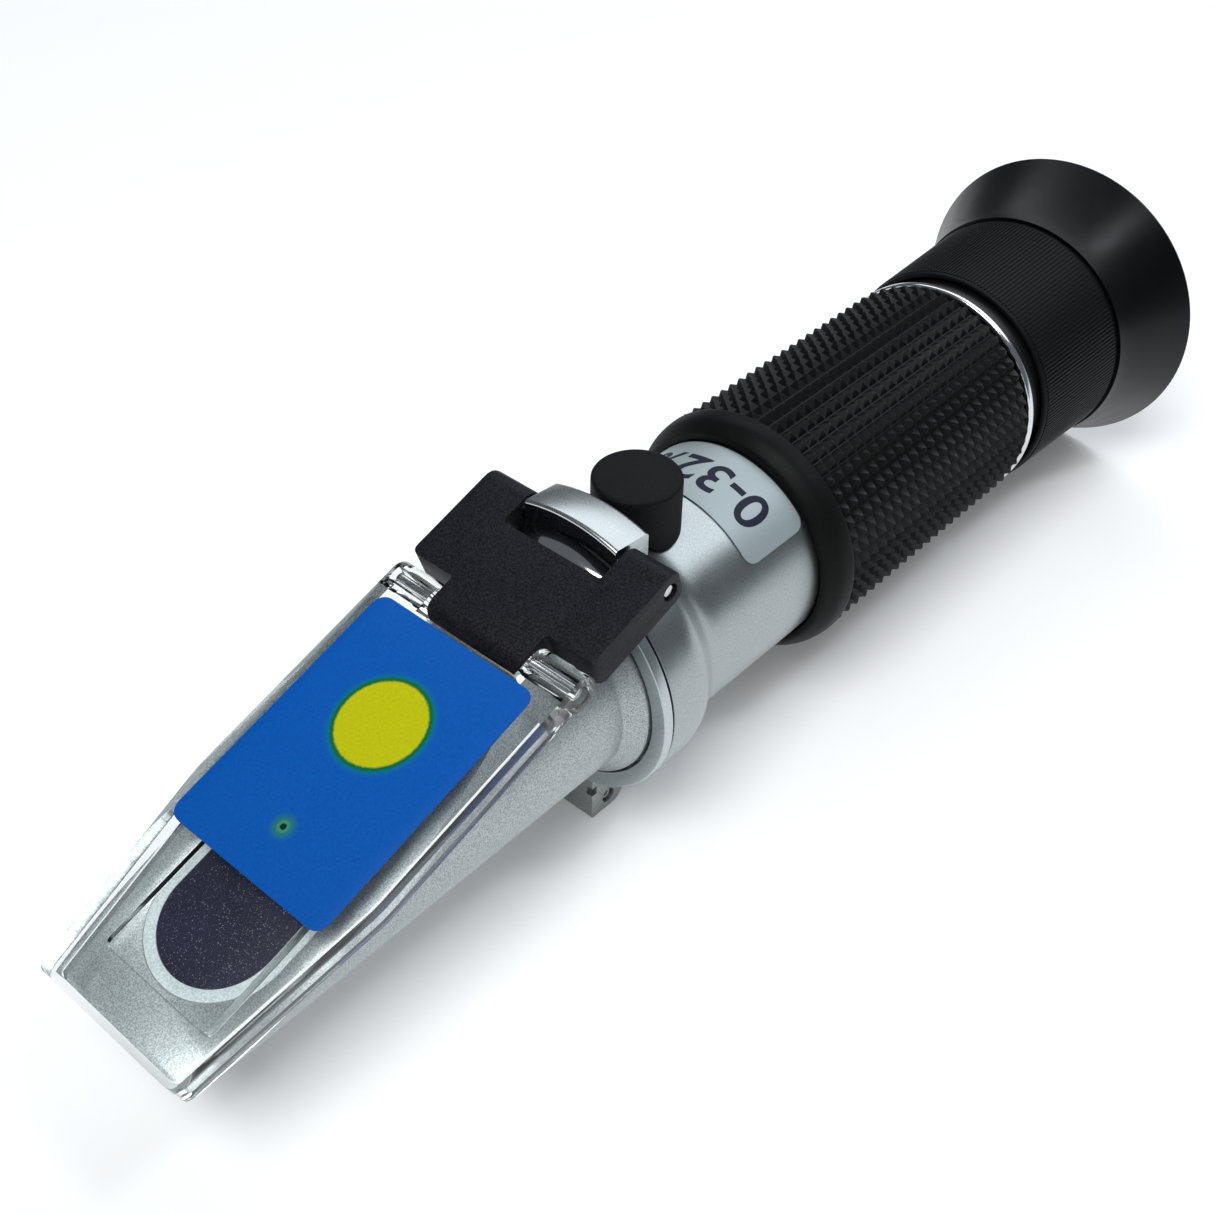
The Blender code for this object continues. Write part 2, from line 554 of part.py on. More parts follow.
def make_reticle():
    turned("reticle_cell", [(SPIGOT_RADIUS, 48.5), (SPIGOT_RADIUS, 43.0), (RETICLE_CELL_BORE, 43.0),
                            (RETICLE_CELL_BORE, 43.8),
                            (8.3, 43.8), (8.3, 48.5)], BLACK_ANODISED, sides=MEDIUM)
    turned("reticle_scale", [(0, 45.6), (RETICLE_RADIUS, 45.6), (RETICLE_RADIUS, 44.1), (0, 44.1)], GLASS,
           sides=MEDIUM)
    turned("reticle_retainer", [(RETICLE_RADIUS, 47.9), (RETICLE_RADIUS, 45.9), (6.8, 45.9), (6.8, 47.9)],
           BLACK_ANODISED, sides=MEDIUM)


def make_grip():
    turned("grip_sleeve", [(GRIP_RADIUS, GRIP_FRONT), (GRIP_RADIUS, END_RING_FRONT + GAP),
                           (SLEEVE_BORE, END_RING_FRONT + GAP), (SLEEVE_BORE, GRIP_FRONT)], RUBBER)
    round_front = [(radius, station) for station, radius in
                   arc((COLLAR_END - 2.0, GRIP_RADIUS - 1.9), 2.0, 0, 90, 5)]
    turned("grip_collar", round_front + [(GRIP_RADIUS + 0.1, GRIP_FRONT + GAP),
                                         (SLEEVE_BORE, GRIP_FRONT + GAP), (SLEEVE_BORE, COLLAR_END)], RUBBER)
    turned("end_ring", [
        (END_RING_RADIUS - 0.16, END_RING_FRONT), (END_RING_RADIUS, END_RING_FRONT - 0.2),
        (END_RING_RADIUS, BARREL_REAR + 0.2), (END_RING_RADIUS - 0.16, BARREL_REAR),
        (SLEEVE_BORE, BARREL_REAR), (SLEEVE_BORE, END_RING_FRONT)], CHROME)


def make_eyepiece_mount():
    turned("eyepiece_mount", [
        (SPIGOT_RADIUS, 41.0), (SPIGOT_RADIUS, 31.7), (NECK_SLEEVE_RADIUS, 31.7), (NECK_SLEEVE_RADIUS, 27.9),
        (NOSE_RADIUS, 27.9), (NOSE_RADIUS, 21.95), (11.0, 21.95), (11.0, 20.05), (NOSE_RADIUS, 20.05),
        (NOSE_RADIUS, 15.6), (MOUNT_BORE, 15.6), (MOUNT_BORE, 41.0)], BLACK_ANODISED)
    seal = [(radius, station) for radius, station in arc((11.85, 21.0), 0.55, 90, -225, 7)]
    turned("focus_o_ring", seal, RUBBER, sides=MEDIUM)


def make_eyepiece(axis):
    turned("eyepiece_tube", [(TUBE_RADIUS, 36.0), (TUBE_RADIUS, 13.9), (6.6, 13.9), (6.6, 14.5),
                             (TUBE_BORE, 14.5), (TUBE_BORE, 36.0)],
           BLACK_ANODISED, sides=MEDIUM, axis=axis)
    turned("eye_lens", lens_profile(EYEPIECE_LENS_RADIUS, 14.8, 16.6, 0.0, 1.6), GLASS, sides=MEDIUM,
           axis=axis)
    turned("lens_spacer", [(EYEPIECE_LENS_RADIUS, 28.4), (EYEPIECE_LENS_RADIUS, 18.6), (6.5, 18.6),
                           (6.5, 28.4)], BLACK_ANODISED, sides=MEDIUM, axis=axis)
    turned("field_lens", lens_profile(EYEPIECE_LENS_RADIUS, 30.6, 32.2, 1.7, 0.0), GLASS, sides=MEDIUM,
           axis=axis)
    turned("lens_retainer", [(EYEPIECE_LENS_RADIUS, 34.4), (EYEPIECE_LENS_RADIUS, 32.5), (6.0, 32.5),
                             (6.0, 34.4)], BLACK_ANODISED, sides=MEDIUM, axis=axis)


def make_focus_ring(axis):
    turned("focus_ring", [
        (14.95, FOCUS_FRONT), (15.2, FOCUS_FRONT - 0.3), (15.75, FOCUS_REAR + 0.4), (15.5, FOCUS_REAR),
        (EYEHOLE_RADIUS, FOCUS_REAR), (EYEHOLE_RADIUS, 13.6), (FOCUS_BORE, 13.6), (FOCUS_BORE, 24.9),
        (FOCUS_SKIRT_BORE, 24.9), (FOCUS_SKIRT_BORE, FOCUS_FRONT)], BLACK_ANODISED, axis=axis)
    widening = EYECUP_RADIUS - EYECUP_ROOT_RADIUS
    root = FOCUS_REAR - GAP
    steps = 6
    flare = [(EYECUP_ROOT_RADIUS + widening * (step / steps) ** 1.25, root - (root - 0.4) * step / steps)
             for step in range(steps + 1)]
    hollow = [(EYECUP_RADIUS - 1.5 - (EYECUP_RADIUS - 15.0) * (step / 4) ** 0.8, 9.9 * step / 4)
              for step in range(5)]
    turned("eyecup", flare + [(EYECUP_RADIUS - 0.3, 0.0)] + hollow + [(8.4, 9.9), (8.4, root)],
           RUBBER, axis=axis)


def build():
    make_barrel()
    make_barrel_label()
    make_hinge_ring()
    make_clamp_screw()
    make_housing()
    make_prism()
    make_reticle()
    make_grip()
    make_eyepiece_mount()
    link_axis = add_axis("link_hinge_axis", WEDGE @ Matrix.Translation(
        Vector((LINK_PIN_ALONG, 0, PIN_LEVEL)) * MM))
    cover_axis = add_axis("cover_hinge_axis", WEDGE @ Matrix.Translation(
        Vector((COVER_PIN_ALONG, 0, PIN_LEVEL)) * MM), link_axis)
    make_link(link_axis)
    make_cover(cover_axis)
    make_cap(add_axis("cap_axis", design_frame(SCREW_STATION, CAP_TOP)))
    make_calibration_screw(add_axis("calibration_axis", design_frame(SCREW_STATION, BOSS_TOP)))
    make_objective(add_axis("objective_axis", design_frame(90.0)))
    eyepiece_axis = add_axis("eyepiece_axis", design_frame(25.0))
    make_eyepiece(eyepiece_axis)
    make_focus_ring(add_axis("focus_axis", design_frame(20.0), eyepiece_axis))


build()
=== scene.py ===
"""Finished look of the hand-held refractometer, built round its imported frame.

Working measurements are millimetres: stations along the barrel from the eyecup's rim, heights from the
barrel's axis.  The cover plate, the link and the prism's face share one tilted frame, whose first axis
runs down the slope towards the tip and whose level zero is the cover plate's outer face.
"""
import json
import math

import bmesh
import bpy
from mathutils import Matrix, Vector


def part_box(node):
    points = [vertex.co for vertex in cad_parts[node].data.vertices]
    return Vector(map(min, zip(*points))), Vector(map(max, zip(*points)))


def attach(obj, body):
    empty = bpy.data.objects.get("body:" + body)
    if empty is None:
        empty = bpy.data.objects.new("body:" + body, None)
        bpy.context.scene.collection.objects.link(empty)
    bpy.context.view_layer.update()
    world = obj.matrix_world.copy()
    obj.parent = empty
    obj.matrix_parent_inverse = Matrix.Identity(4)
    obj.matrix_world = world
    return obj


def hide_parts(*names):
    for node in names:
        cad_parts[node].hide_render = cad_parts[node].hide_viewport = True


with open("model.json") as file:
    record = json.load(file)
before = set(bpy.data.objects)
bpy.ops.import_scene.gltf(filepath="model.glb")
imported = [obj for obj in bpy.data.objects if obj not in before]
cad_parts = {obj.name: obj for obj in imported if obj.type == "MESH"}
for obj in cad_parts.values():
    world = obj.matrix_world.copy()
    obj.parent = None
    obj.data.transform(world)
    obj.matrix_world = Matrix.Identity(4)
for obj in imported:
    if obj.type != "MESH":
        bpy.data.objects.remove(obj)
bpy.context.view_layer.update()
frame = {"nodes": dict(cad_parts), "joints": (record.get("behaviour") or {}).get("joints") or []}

MM = 0.001

# How many sides a round has, from the widest to the narrowest
WIDE = 192
FINE = 160
MEDIUM = 96
SMALL = 64
TINY = 48

BARREL, LINK, COVER = "barrel_body", "link_body", "cover_body"
CAP, SCREW = "cap_body", "screw_body"
EYEPIECE, FOCUS = "eyepiece_body", "focus_body"

# Where the frame's parts are
RIM_LOW, RIM_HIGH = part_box("eyecup")
RIM_X = RIM_LOW.x
AXIS_Z = (RIM_LOW.z + RIM_HIGH.z) / 2
PINS = {joint["name"]: Vector(joint["pos_m"]) for joint in frame["joints"] if "pos_m" in joint}
LINK_PIN = PINS["link_hinge"]
COVER_PIN = PINS["cover_hinge"]
SLOPE = math.atan2(LINK_PIN.z - COVER_PIN.z, COVER_PIN.x - LINK_PIN.x)
LINK_PIN_ALONG = -14.05
COVER_PIN_ALONG = -0.1
PIN_LEVEL = -2.05

# Barrel and its label
BARREL_RADIUS = 12.75
BARREL_REAR, BARREL_FRONT = 32.0, 103.35
BARREL_BORE = 11.2
COLLAR_RADIUS = 15.0
SHOULDER_FOOT, SHOULDER_TOP = 94.3, 98.2
SCREW_STATION = 92.8
BOSS_RADIUS, BOSS_TOP = 3.4, 15.6
SCREW_HOLE = 1.55
ANCHOR_STATION, ANCHOR_HOLE = 60.5, 1.2
LABEL_REAR, LABEL_FRONT = 75.8, 85.7
LABEL_RADIUS, LABEL_HALF_ANGLE = 12.87, 52.3
MARK_RADIUS, MARK_STATION, MARK_SIZE = 12.935, 80.8, 6.9

# Hinge ring, with its bracket on top and its lug below
RING_REAR, RING_FRONT = 103.65, 104.9
RING_BORE = 13.15
COLLAR_ROOM = 15.3
SLIT_HALF = 0.4
BRACKET_REAR, BRACKET_FRONT = 98.12, 103.2
BRACKET_FOOT, BRACKET_CREST = 14.2, 19.42
BRACKET_HALF_WIDTH = 6.15
LUG_FOOT, LUG_REAR = -20.28, 99.6
LUG_HALF_WIDTH = 5.1
CLAMP_STATION, CLAMP_HEIGHT = 102.0, -18.5
CLAMP_BORE, CLAMP_SCREW_RADIUS = 0.95, 0.68

# Prism housing
FACE_LEVEL = -3.85
TIP_ALONG = 49.3
HOUSING_RADIUS = 11.05
NECK_RADIUS = 12.85
NECK_REAR, NECK_FRONT = 105.1, 106.9
SPIGOT_RADIUS, SPIGOT_REAR = 10.9, 97.0
LIGHT_BORE, LIGHT_END = 7.2, 119.5
CHANNEL_RADIUS, CHANNEL_HEIGHT = 4.0, -1.0
PRISM_CENTRES = (24.0, 36.4)
PRISM_RADIUS = 6.4
CRADLE_SCREWS, CRADLE_SCREW_HOLE = (25.5, 33.5), 1.25

# Link and cover plate
KNUCKLE_RADIUS, KNUCKLE_ROOM = 2.05, 2.35
PIN_RADIUS, PIN_HOLE = 0.72, 1.0
LINK_HALF_WIDTH = 12.35
COVER_SHOULDER, COVER_TIP = 27.4, 50.0
COVER_WIDE, COVER_NARROW = 12.55, 9.6
COVER_RIM, COVER_THICKNESS = 3.4, 2.4
PAD_REAR, PAD_FRONT, PAD_HALF_WIDTH = 14.0, 44.7, 7.2
PAD_LEVEL = -3.55
EARS_INNER = 6.75

# Cap and screw
CAP_RADIUS, CAP_TOP = 4.85, 19.0
CAP_BORE, CAP_CEILING = 3.7, 17.2

# Eyepiece and focus ring
NECK_OUTER, NECK_INNER = 12.2, 9.9
GROOVE_REAR, GROOVE_FRONT, GROOVE_RADIUS = 20.05, 21.95, 11.0
TUBE_REAR, TUBE_FRONT, TUBE_RADIUS, TUBE_BORE = 13.9, 36.0, 9.6, 7.6
LENS_RADIUS = 7.3
FOCUS_REAR, FOCUS_FRONT = 11.75, 29.4
FOCUS_WIDE, FOCUS_NARROW = 15.62, 15.0
EYECUP_RADIUS, EYECUP_NECK = 20.28, 16.05
EYECUP_ROOT, EYECUP_FLOOR = 11.7, 9.9
EYEHOLE_RADIUS = 8.4
RIB_LENGTH = 16.3
RIB_COUNT = 190

# Knurled grip
SLEEVE_BORE = 13.05
GRIP_REAR, GRIP_FRONT = 33.35, 71.5
STUD_ROWS = 22
STUD_AROUND = 52
STUD_ROOT = 14.3
STUD_HEIGHT = 0.86


def design_frame(station=0.0, height=0.0):
    return Matrix.Translation(Vector((RIM_X + station * MM, 0.0, AXIS_Z + height * MM)))


AXIS = design_frame() @ Matrix.Rotation(math.pi / 2, 4, "Y")
SIDE = design_frame() @ Matrix.Rotation(math.pi / 2, 4, "X")
WEDGE = (Matrix.Translation(COVER_PIN) @ Matrix.Rotation(SLOPE, 4, "Y")
         @ Matrix.Translation(Vector((-COVER_PIN_ALONG, 0.0, -PIN_LEVEL)) * MM))
WEDGE_SIDE = WEDGE @ Matrix.Rotation(math.pi / 2, 4, "X")
WEDGE_INVERSE = WEDGE.inverted()
UPRIGHT = design_frame(SCREW_STATION)


# ---------------------------------------------------------------- shader building

def new_group(name, inputs, outputs):
    """Empty shader group with float, colour or vector sockets, and its two end nodes."""
    kinds = {"value": "NodeSocketFloat", "colour": "NodeSocketColor", "vector": "NodeSocketVector"}
    tree = bpy.data.node_groups.new(name, "ShaderNodeTree")
    for label, kind, default in inputs:
        socket = tree.interface.new_socket(label, in_out="INPUT", socket_type=kinds[kind])
        if default is not None:
            socket.default_value = default
    for label, kind in outputs:
        tree.interface.new_socket(label, in_out="OUTPUT", socket_type=kinds[kind])
    start = tree.nodes.new("NodeGroupInput")
    end = tree.nodes.new("NodeGroupOutput")
    start.location = (-900, 0)
    end.location = (600, 0)
    return tree, start, end


class Board:
    """Short way to add and join the nodes of one tree."""

    def __init__(self, tree):
        self.tree = tree

    def node(self, kind, links=(), **settings):
        made = self.tree.nodes.new(kind)
        for key, value in settings.items():
            setattr(made, key, value)
        for socket, source in dict(links).items():
            self.feed(made.inputs[socket], source)
        return made

    def feed(self, socket, source):
        if isinstance(source, bpy.types.NodeSocket):
            self.tree.links.new(source, socket)
        else:
            socket.default_value = source

    def math(self, operation, first, second=0.0, third=None, clamp=False):
        links = {0: first, 1: second}
        if third is not None:
            links[2] = third
        return self.node("ShaderNodeMath", links, operation=operation, use_clamp=clamp).outputs[0]

    def noise(self, vector, scale, detail=2.0, rough=0.5):
        return self.node("ShaderNodeTexNoise", {"Vector": vector, "Scale": scale, "Detail": detail,
                                                "Roughness": rough}).outputs["Fac"]

    def ramp(self, factor, low, high, start=0.0, end=1.0, smooth=True):
        made = self.node("ShaderNodeMapRange", {"Value": factor, "From Min": low, "From Max": high,
                                                "To Min": start, "To Max": end})
        made.interpolation_type = "SMOOTHSTEP" if smooth else "LINEAR"
        return made.outputs["Result"]

    def blend(self, factor, first, second):
        made = self.node("ShaderNodeMix", data_type="RGBA")
        self.feed(made.inputs[0], factor)
        self.feed(made.inputs[6], first)
        self.feed(made.inputs[7], second)
        return made.outputs[2]


def make_grain_group():
    """Fine grain of a blasted or moulded skin: a speckle value, and a height for a bump."""
    tree, start, end = new_group(
        "Fine grain", [("Vector", "vector", None), ("Grain size", "value", 0.15),
                       ("Contrast", "value", 0.5)], [("Speckle", "value"), ("Height", "value")])
    board = Board(tree)
    per_metre = board.math("DIVIDE", 1000.0, start.outputs["Grain size"])
    fine = board.noise(start.outputs["Vector"], per_metre, 2.0, 0.6)
    cells = board.node("ShaderNodeTexVoronoi", {"Vector": start.outputs["Vector"], "Scale": per_metre})
    mixed = board.math("MULTIPLY_ADD", cells.outputs["Distance"], 0.35, fine)
    centred = board.math("SUBTRACT", mixed, 0.68)
    spread = board.math("MULTIPLY_ADD", centred, board.math("MULTIPLY", start.outputs["Contrast"], 2.4), 0.5,
                        clamp=True)
    board.feed(end.inputs["Speckle"], spread)
    board.feed(end.inputs["Height"], mixed)
    return tree


def make_handling_group():
    """Faint smudges and dust of an instrument that is handled: two slow masks."""
    tree, start, end = new_group(
        "Handling marks", [("Vector", "vector", None), ("Smudge size", "value", 12.0),
                           ("Dust", "value", 0.4)], [("Smudge", "value"), ("Dust", "value")])
    board = Board(tree)
    per_metre = board.math("DIVIDE", 1000.0, start.outputs["Smudge size"])
    slow = board.noise(start.outputs["Vector"], per_metre, 4.0, 0.6)
    board.feed(end.inputs["Smudge"], board.ramp(slow, 0.35, 0.7))
    specks = board.node("ShaderNodeTexVoronoi", {"Vector": start.outputs["Vector"], "Scale": 1400.0})
    near = board.ramp(specks.outputs["Distance"], 0.0, 0.16, 1.0, 0.0)
    board.feed(end.inputs["Dust"], board.math("MULTIPLY", board.math("MULTIPLY", near, slow),
                                              start.outputs["Dust"]))
    return tree


def make_disc_group():
    """Distance from the middle of a printed disc, a little ragged as print is."""
    tree, start, end = new_group(
        "Printed disc", [("Vector", "vector", None), ("Centre", "vector", None),
                         ("Ragged", "value", 0.1)], [("Distance", "value")])
    board = Board(tree)
    flat = board.node("ShaderNodeVectorMath", {0: start.outputs["Vector"], 1: (1.0, 1.0, 0.0)},
                      operation="MULTIPLY").outputs[0]
    apart = board.node("ShaderNodeVectorMath", {0: flat, 1: start.outputs["Centre"]},
                       operation="DISTANCE").outputs["Value"]
    wander = board.math("SUBTRACT", board.noise(flat, 2.6, 3.0, 0.6), 0.5)
    board.feed(end.inputs["Distance"], board.math("MULTIPLY_ADD", wander, start.outputs["Ragged"], apart))
    return tree


GRAIN = make_grain_group()
HANDLING = make_handling_group()
DISC = make_disc_group()


def new_material(name, **shader_values):
    """Material with a Principled shader, and a board to build its pattern on."""
    material = bpy.data.materials.new(name)
    material.use_nodes = True
    shader = material.node_tree.nodes["Principled BSDF"]
    shader.inputs["Roughness"].default_value = 0.5
    for label, value in shader_values.items():
        shader.inputs[label.replace("_", " ")].default_value = value
    return material, shader, Board(material.node_tree)


def place(board, group, coordinates, **values):
    """Put a shader group on a board, with its coordinates and values set."""
    made = board.node("ShaderNodeGroup")
    made.node_tree = group
    board.feed(made.inputs["Vector"], coordinates)
    for label, value in values.items():
        board.feed(made.inputs[label.replace("_", " ")], value)
    return made


def raise_grain(board, shader, grained, depth):
    """Stand the grain up as a bump, depth millimetres high."""
    bump = board.node("ShaderNodeBump", {"Height": grained.outputs["Height"], "Strength": 1.0,
                                         "Distance": depth * MM})
    board.feed(shader.inputs["Normal"], bump.outputs["Normal"])


def skin(name, dark, light, roughness, metallic=0.0, grain=0.15, contrast=0.5, depth=0.006,
         smudge=0.06, dust=0.0, **more):
    """A surface with grain in its colour and bump, smudges in its gloss and a little dust."""
    material, shader, board = new_material(name, Metallic=metallic, **more)
    where = board.node("ShaderNodeTexCoord").outputs["Object"]
    grained = place(board, GRAIN, where, Grain_size=grain, Contrast=contrast)
    marks = place(board, HANDLING, where, Dust=dust)
    colour = board.blend(grained.outputs["Speckle"], (*dark, 1.0), (*light, 1.0))
    if dust:
        colour = board.blend(marks.outputs["Dust"], colour, (0.55, 0.55, 0.53, 1.0))
    board.feed(shader.inputs["Base Color"], colour)
    gloss = board.math("MULTIPLY_ADD", marks.outputs["Smudge"], smudge, roughness - smudge / 2)
    board.feed(shader.inputs["Roughness"],
               board.math("MULTIPLY_ADD", grained.outputs["Speckle"], 0.05, gloss))
    raise_grain(board, shader, grained, depth)
    return material


def let_lamps_through(material, tint):
    """Clear parts cast no hard shadow: rays from lamps pass, tinted a little."""
    board = Board(material.node_tree)
    shader = material.node_tree.nodes["Principled BSDF"]
    output = material.node_tree.nodes["Material Output"]
    path = board.node("ShaderNodeLightPath")
    clear = board.node("ShaderNodeBsdfTransparent", {"Color": (*tint, 1.0)})
    mix = board.node("ShaderNodeMixShader", {0: path.outputs["Is Shadow Ray"], 1: shader.outputs[0],
                                             2: clear.outputs[0]})
    material.node_tree.links.new(mix.outputs[0], output.inputs["Surface"])


def acrylic(name, roughness, spread):
    """Clear moulding, whose gloss is broken by smudges and, where spread is set, by grinding."""
    material, shader, board = new_material(name, IOR=1.40, Transmission_Weight=1.0)
    shader.inputs["Base Color"].default_value = (0.94, 0.965, 0.96, 1.0)
    where = board.node("ShaderNodeTexCoord").outputs["Object"]
    grained = place(board, GRAIN, where, Grain_size=0.22, Contrast=1.0)
    marks = place(board, HANDLING, where, Smudge_size=9.0)
    gloss = board.math("MULTIPLY_ADD", marks.outputs["Smudge"], 0.015, roughness)
    board.feed(shader.inputs["Roughness"], board.math("MULTIPLY_ADD", grained.outputs["Speckle"], spread,
                                                      gloss))
    let_lamps_through(material, (0.97, 0.98, 0.98))
    return material


def lens_glass():
    """Glass with a faint blue coating and a few finger smudges."""
    material, shader, board = new_material("coated lens glass", IOR=1.52, Transmission_Weight=1.0)
    where = board.node("ShaderNodeTexCoord").outputs["Object"]
    marks = place(board, HANDLING, where, Smudge_size=5.0)
    board.feed(shader.inputs["Base Color"],
               board.blend(marks.outputs["Smudge"], (0.86, 0.93, 0.97, 1.0), (0.93, 0.95, 0.99, 1.0)))
    board.feed(shader.inputs["Roughness"], board.math("MULTIPLY_ADD", marks.outputs["Smudge"], 0.03, 0.01))
    let_lamps_through(material, (0.85, 0.9, 0.95))
    return material


def prism_face():
    """Dark ground face of the prism, with bright specks painted into its colour as painted glints."""
    material, shader, board = new_material("ground prism face", IOR=1.5, Specular_IOR_Level=0.15)
    where = board.node("ShaderNodeTexCoord").outputs["Object"]
    grained = place(board, GRAIN, where, Grain_size=0.16, Contrast=0.8)
    cloud = board.noise(where, 160.0, 3.0, 0.6)
    deep = board.blend(cloud, (0.003, 0.003, 0.010, 1.0), (0.010, 0.009, 0.026, 1.0))
    # painted glints: bright specks put into the base colour for the face's sparkle
    specks = board.node("ShaderNodeTexVoronoi", {"Vector": where, "Scale": 5400.0})
    centre = board.ramp(specks.outputs["Distance"], 0.08, 0.32, 1.0, 0.0)
    pick = board.node("ShaderNodeSeparateColor", {0: specks.outputs["Color"]}).outputs[0]
    chosen = board.ramp(pick, 0.45, 0.9)
    painted_glints = board.math("MULTIPLY", board.math("MULTIPLY", centre, chosen), 0.45)
    board.feed(shader.inputs["Base Color"], board.blend(painted_glints, deep, (0.7, 0.7, 0.8, 1.0)))
    board.feed(shader.inputs["Roughness"], board.math("MULTIPLY_ADD", grained.outputs["Speckle"], 0.25, 0.3))
    raise_grain(board, shader, grained, 0.02)
    return material


def blue_film():
    """Printed blue film: a yellow disc with a soft green edge, and a small dark locating dot."""
    material, shader, board = new_material("printed blue film")
    where = board.node("ShaderNodeTexCoord").outputs["Object"]
    level = board.node("ShaderNodeMapping", {"Vector": where, "Location": WEDGE.translation,
                                             "Rotation": (0.0, SLOPE, 0.0), "Scale": (MM, MM, MM)},
                       vector_type="TEXTURE").outputs[0]
    grained = place(board, GRAIN, where, Grain_size=0.3, Contrast=0.6)
    marks = place(board, HANDLING, where, Smudge_size=14.0)
    blue = board.blend(grained.outputs["Speckle"], (0.0, 0.072, 0.36, 1.0), (0.0, 0.10, 0.44, 1.0))
    disc = place(board, DISC, level, Centre=(13.7, -0.4, 0.0), Ragged=0.3).outputs["Distance"]
    halo = board.math("MULTIPLY", board.ramp(disc, 4.9, 5.9, 1.0, 0.0), 0.7)
    ring = board.ramp(disc, 4.95, 5.3, 1.0, 0.0)
    heart = board.ramp(disc, 4.55, 4.85, 1.0, 0.0)
    colour = board.blend(halo, blue, (0.0, 0.19, 0.20, 1.0))
    colour = board.blend(ring, colour, (0.0, 0.13, 0.03, 1.0))
    yellow = board.blend(grained.outputs["Speckle"], (0.44, 0.45, 0.0, 1.0), (0.54, 0.54, 0.003, 1.0))
    colour = board.blend(heart, colour, yellow)
    dot = place(board, DISC, level, Centre=(26.85, -0.5, 0.0), Ragged=0.25).outputs["Distance"]
    colour = board.blend(board.math("MULTIPLY", board.ramp(dot, 0.5, 1.7, 1.0, 0.0), 0.8), colour,
                         (0.02, 0.2, 0.08, 1.0))
    colour = board.blend(board.ramp(dot, 0.55, 0.75, 1.0, 0.0), colour, (0.05, 0.24, 0.14, 1.0))
    colour = board.blend(board.ramp(dot, 0.28, 0.42, 1.0, 0.0), colour, (0.0, 0.02, 0.02, 1.0))
    board.feed(shader.inputs["Base Color"], colour)
    board.feed(shader.inputs["Roughness"], board.math("MULTIPLY_ADD", marks.outputs["Smudge"], 0.1, 0.5))
    shader.inputs["Specular IOR Level"].default_value = 0.12
    raise_grain(board, shader, grained, 0.004)
    return material


def worn_tips_with_painted_sheen(name, dark, tip):
    """Moulded rubber that is glossier where hands rub it, the farther from the axis the more; its colour is
    also painted lighter there, a painted sheen on the stud tips.
    """
    material, shader, board = new_material(name)
    where = board.node("ShaderNodeTexCoord").outputs["Object"]
    centred = board.node("ShaderNodeMapping", {"Vector": where, "Location": (RIM_X, 0.0, AXIS_Z),
                                               "Scale": (MM, MM, MM)}, vector_type="TEXTURE").outputs[0]
    across = board.node("ShaderNodeVectorMath", {0: centred, 1: (0.0, 1.0, 1.0)},
                        operation="MULTIPLY").outputs[0]
    reach = board.node("ShaderNodeVectorMath", {0: across}, operation="LENGTH").outputs["Value"]
    tip_wear_and_sheen_mask = board.ramp(reach, STUD_ROOT + 0.3, STUD_ROOT + STUD_HEIGHT)
    grained = place(board, GRAIN, where, Grain_size=0.12, Contrast=0.6)
    marks = place(board, HANDLING, where, Smudge_size=7.0, Dust=0.08)
    shader.inputs["Specular IOR Level"].default_value = 0.22
    wear_and_sheen = board.math("MULTIPLY", tip_wear_and_sheen_mask, board.math("MULTIPLY_ADD", marks.outputs["Smudge"], 0.7, 0.3))
    # colour towards the tip colour: painted sheen on the stud tips; the gloss set below is their real wear
    colour = board.blend(wear_and_sheen, (*dark, 1.0), (*tip, 1.0))
    colour = board.blend(marks.outputs["Dust"], colour, (0.4, 0.4, 0.38, 1.0))
    board.feed(shader.inputs["Base Color"], colour)
    gloss = board.math("MULTIPLY_ADD", wear_and_sheen, -0.18, 0.42)
    board.feed(shader.inputs["Roughness"],
               board.math("MULTIPLY_ADD", grained.outputs["Speckle"], 0.08, gloss))
    raise_grain(board, shader, grained, 0.006)
    return material


SATIN = skin("blasted silver aluminium", (0.29, 0.32, 0.33), (0.45, 0.485, 0.49), 0.30, 1.0, grain=0.14,
             contrast=0.8, depth=0.007)
HOUSING_SKIN = skin("blasted housing aluminium", (0.24, 0.27, 0.275), (0.52, 0.55, 0.555), 0.38, 0.8,
                    grain=0.15, contrast=1.2, depth=0.012)
BRACKET_TOP = skin("brushed bracket top", (0.39, 0.42, 0.43), (0.47, 0.50, 0.51), 0.27, 1.0, grain=0.12,
                   contrast=0.5, depth=0.002)
POLISH = skin("polished plating", (0.62, 0.64, 0.65), (0.72, 0.73, 0.74), 0.10, 1.0, grain=0.3,
              contrast=0.3, depth=0.001, smudge=0.08)
RING_SKIN = skin("satin ring plating", (0.42, 0.46, 0.475), (0.56, 0.60, 0.61), 0.28, 1.0, grain=0.12,
                 contrast=0.6, depth=0.004)
LUG_SKIN = skin("tumbled lug steel", (0.26, 0.28, 0.27), (0.42, 0.44, 0.43), 0.42, 1.0, grain=0.2,
                contrast=0.9, depth=0.012)
STEEL = skin("turned steel", (0.45, 0.46, 0.48), (0.62, 0.63, 0.65), 0.22, 1.0, grain=0.2, depth=0.003)
LINK_SKIN = skin("textured black moulding", (0.001, 0.001, 0.002), (0.017, 0.017, 0.023), 0.5, grain=0.2,
                 contrast=1.4, depth=0.014, dust=0.05, Specular_IOR_Level=0.15)
CAP_RUBBER = skin("matte cap rubber", (0.002, 0.002, 0.0025), (0.007, 0.007, 0.009), 0.55, grain=0.2,
                  contrast=0.9, depth=0.012, dust=0.05, Specular_IOR_Level=0.12)
COLLAR_RUBBER = skin("smooth collar rubber", (0.0015, 0.0015, 0.0015), (0.005, 0.005, 0.005), 0.48,
                     grain=0.14, contrast=0.8, depth=0.006, dust=0.04, Specular_IOR_Level=0.12)
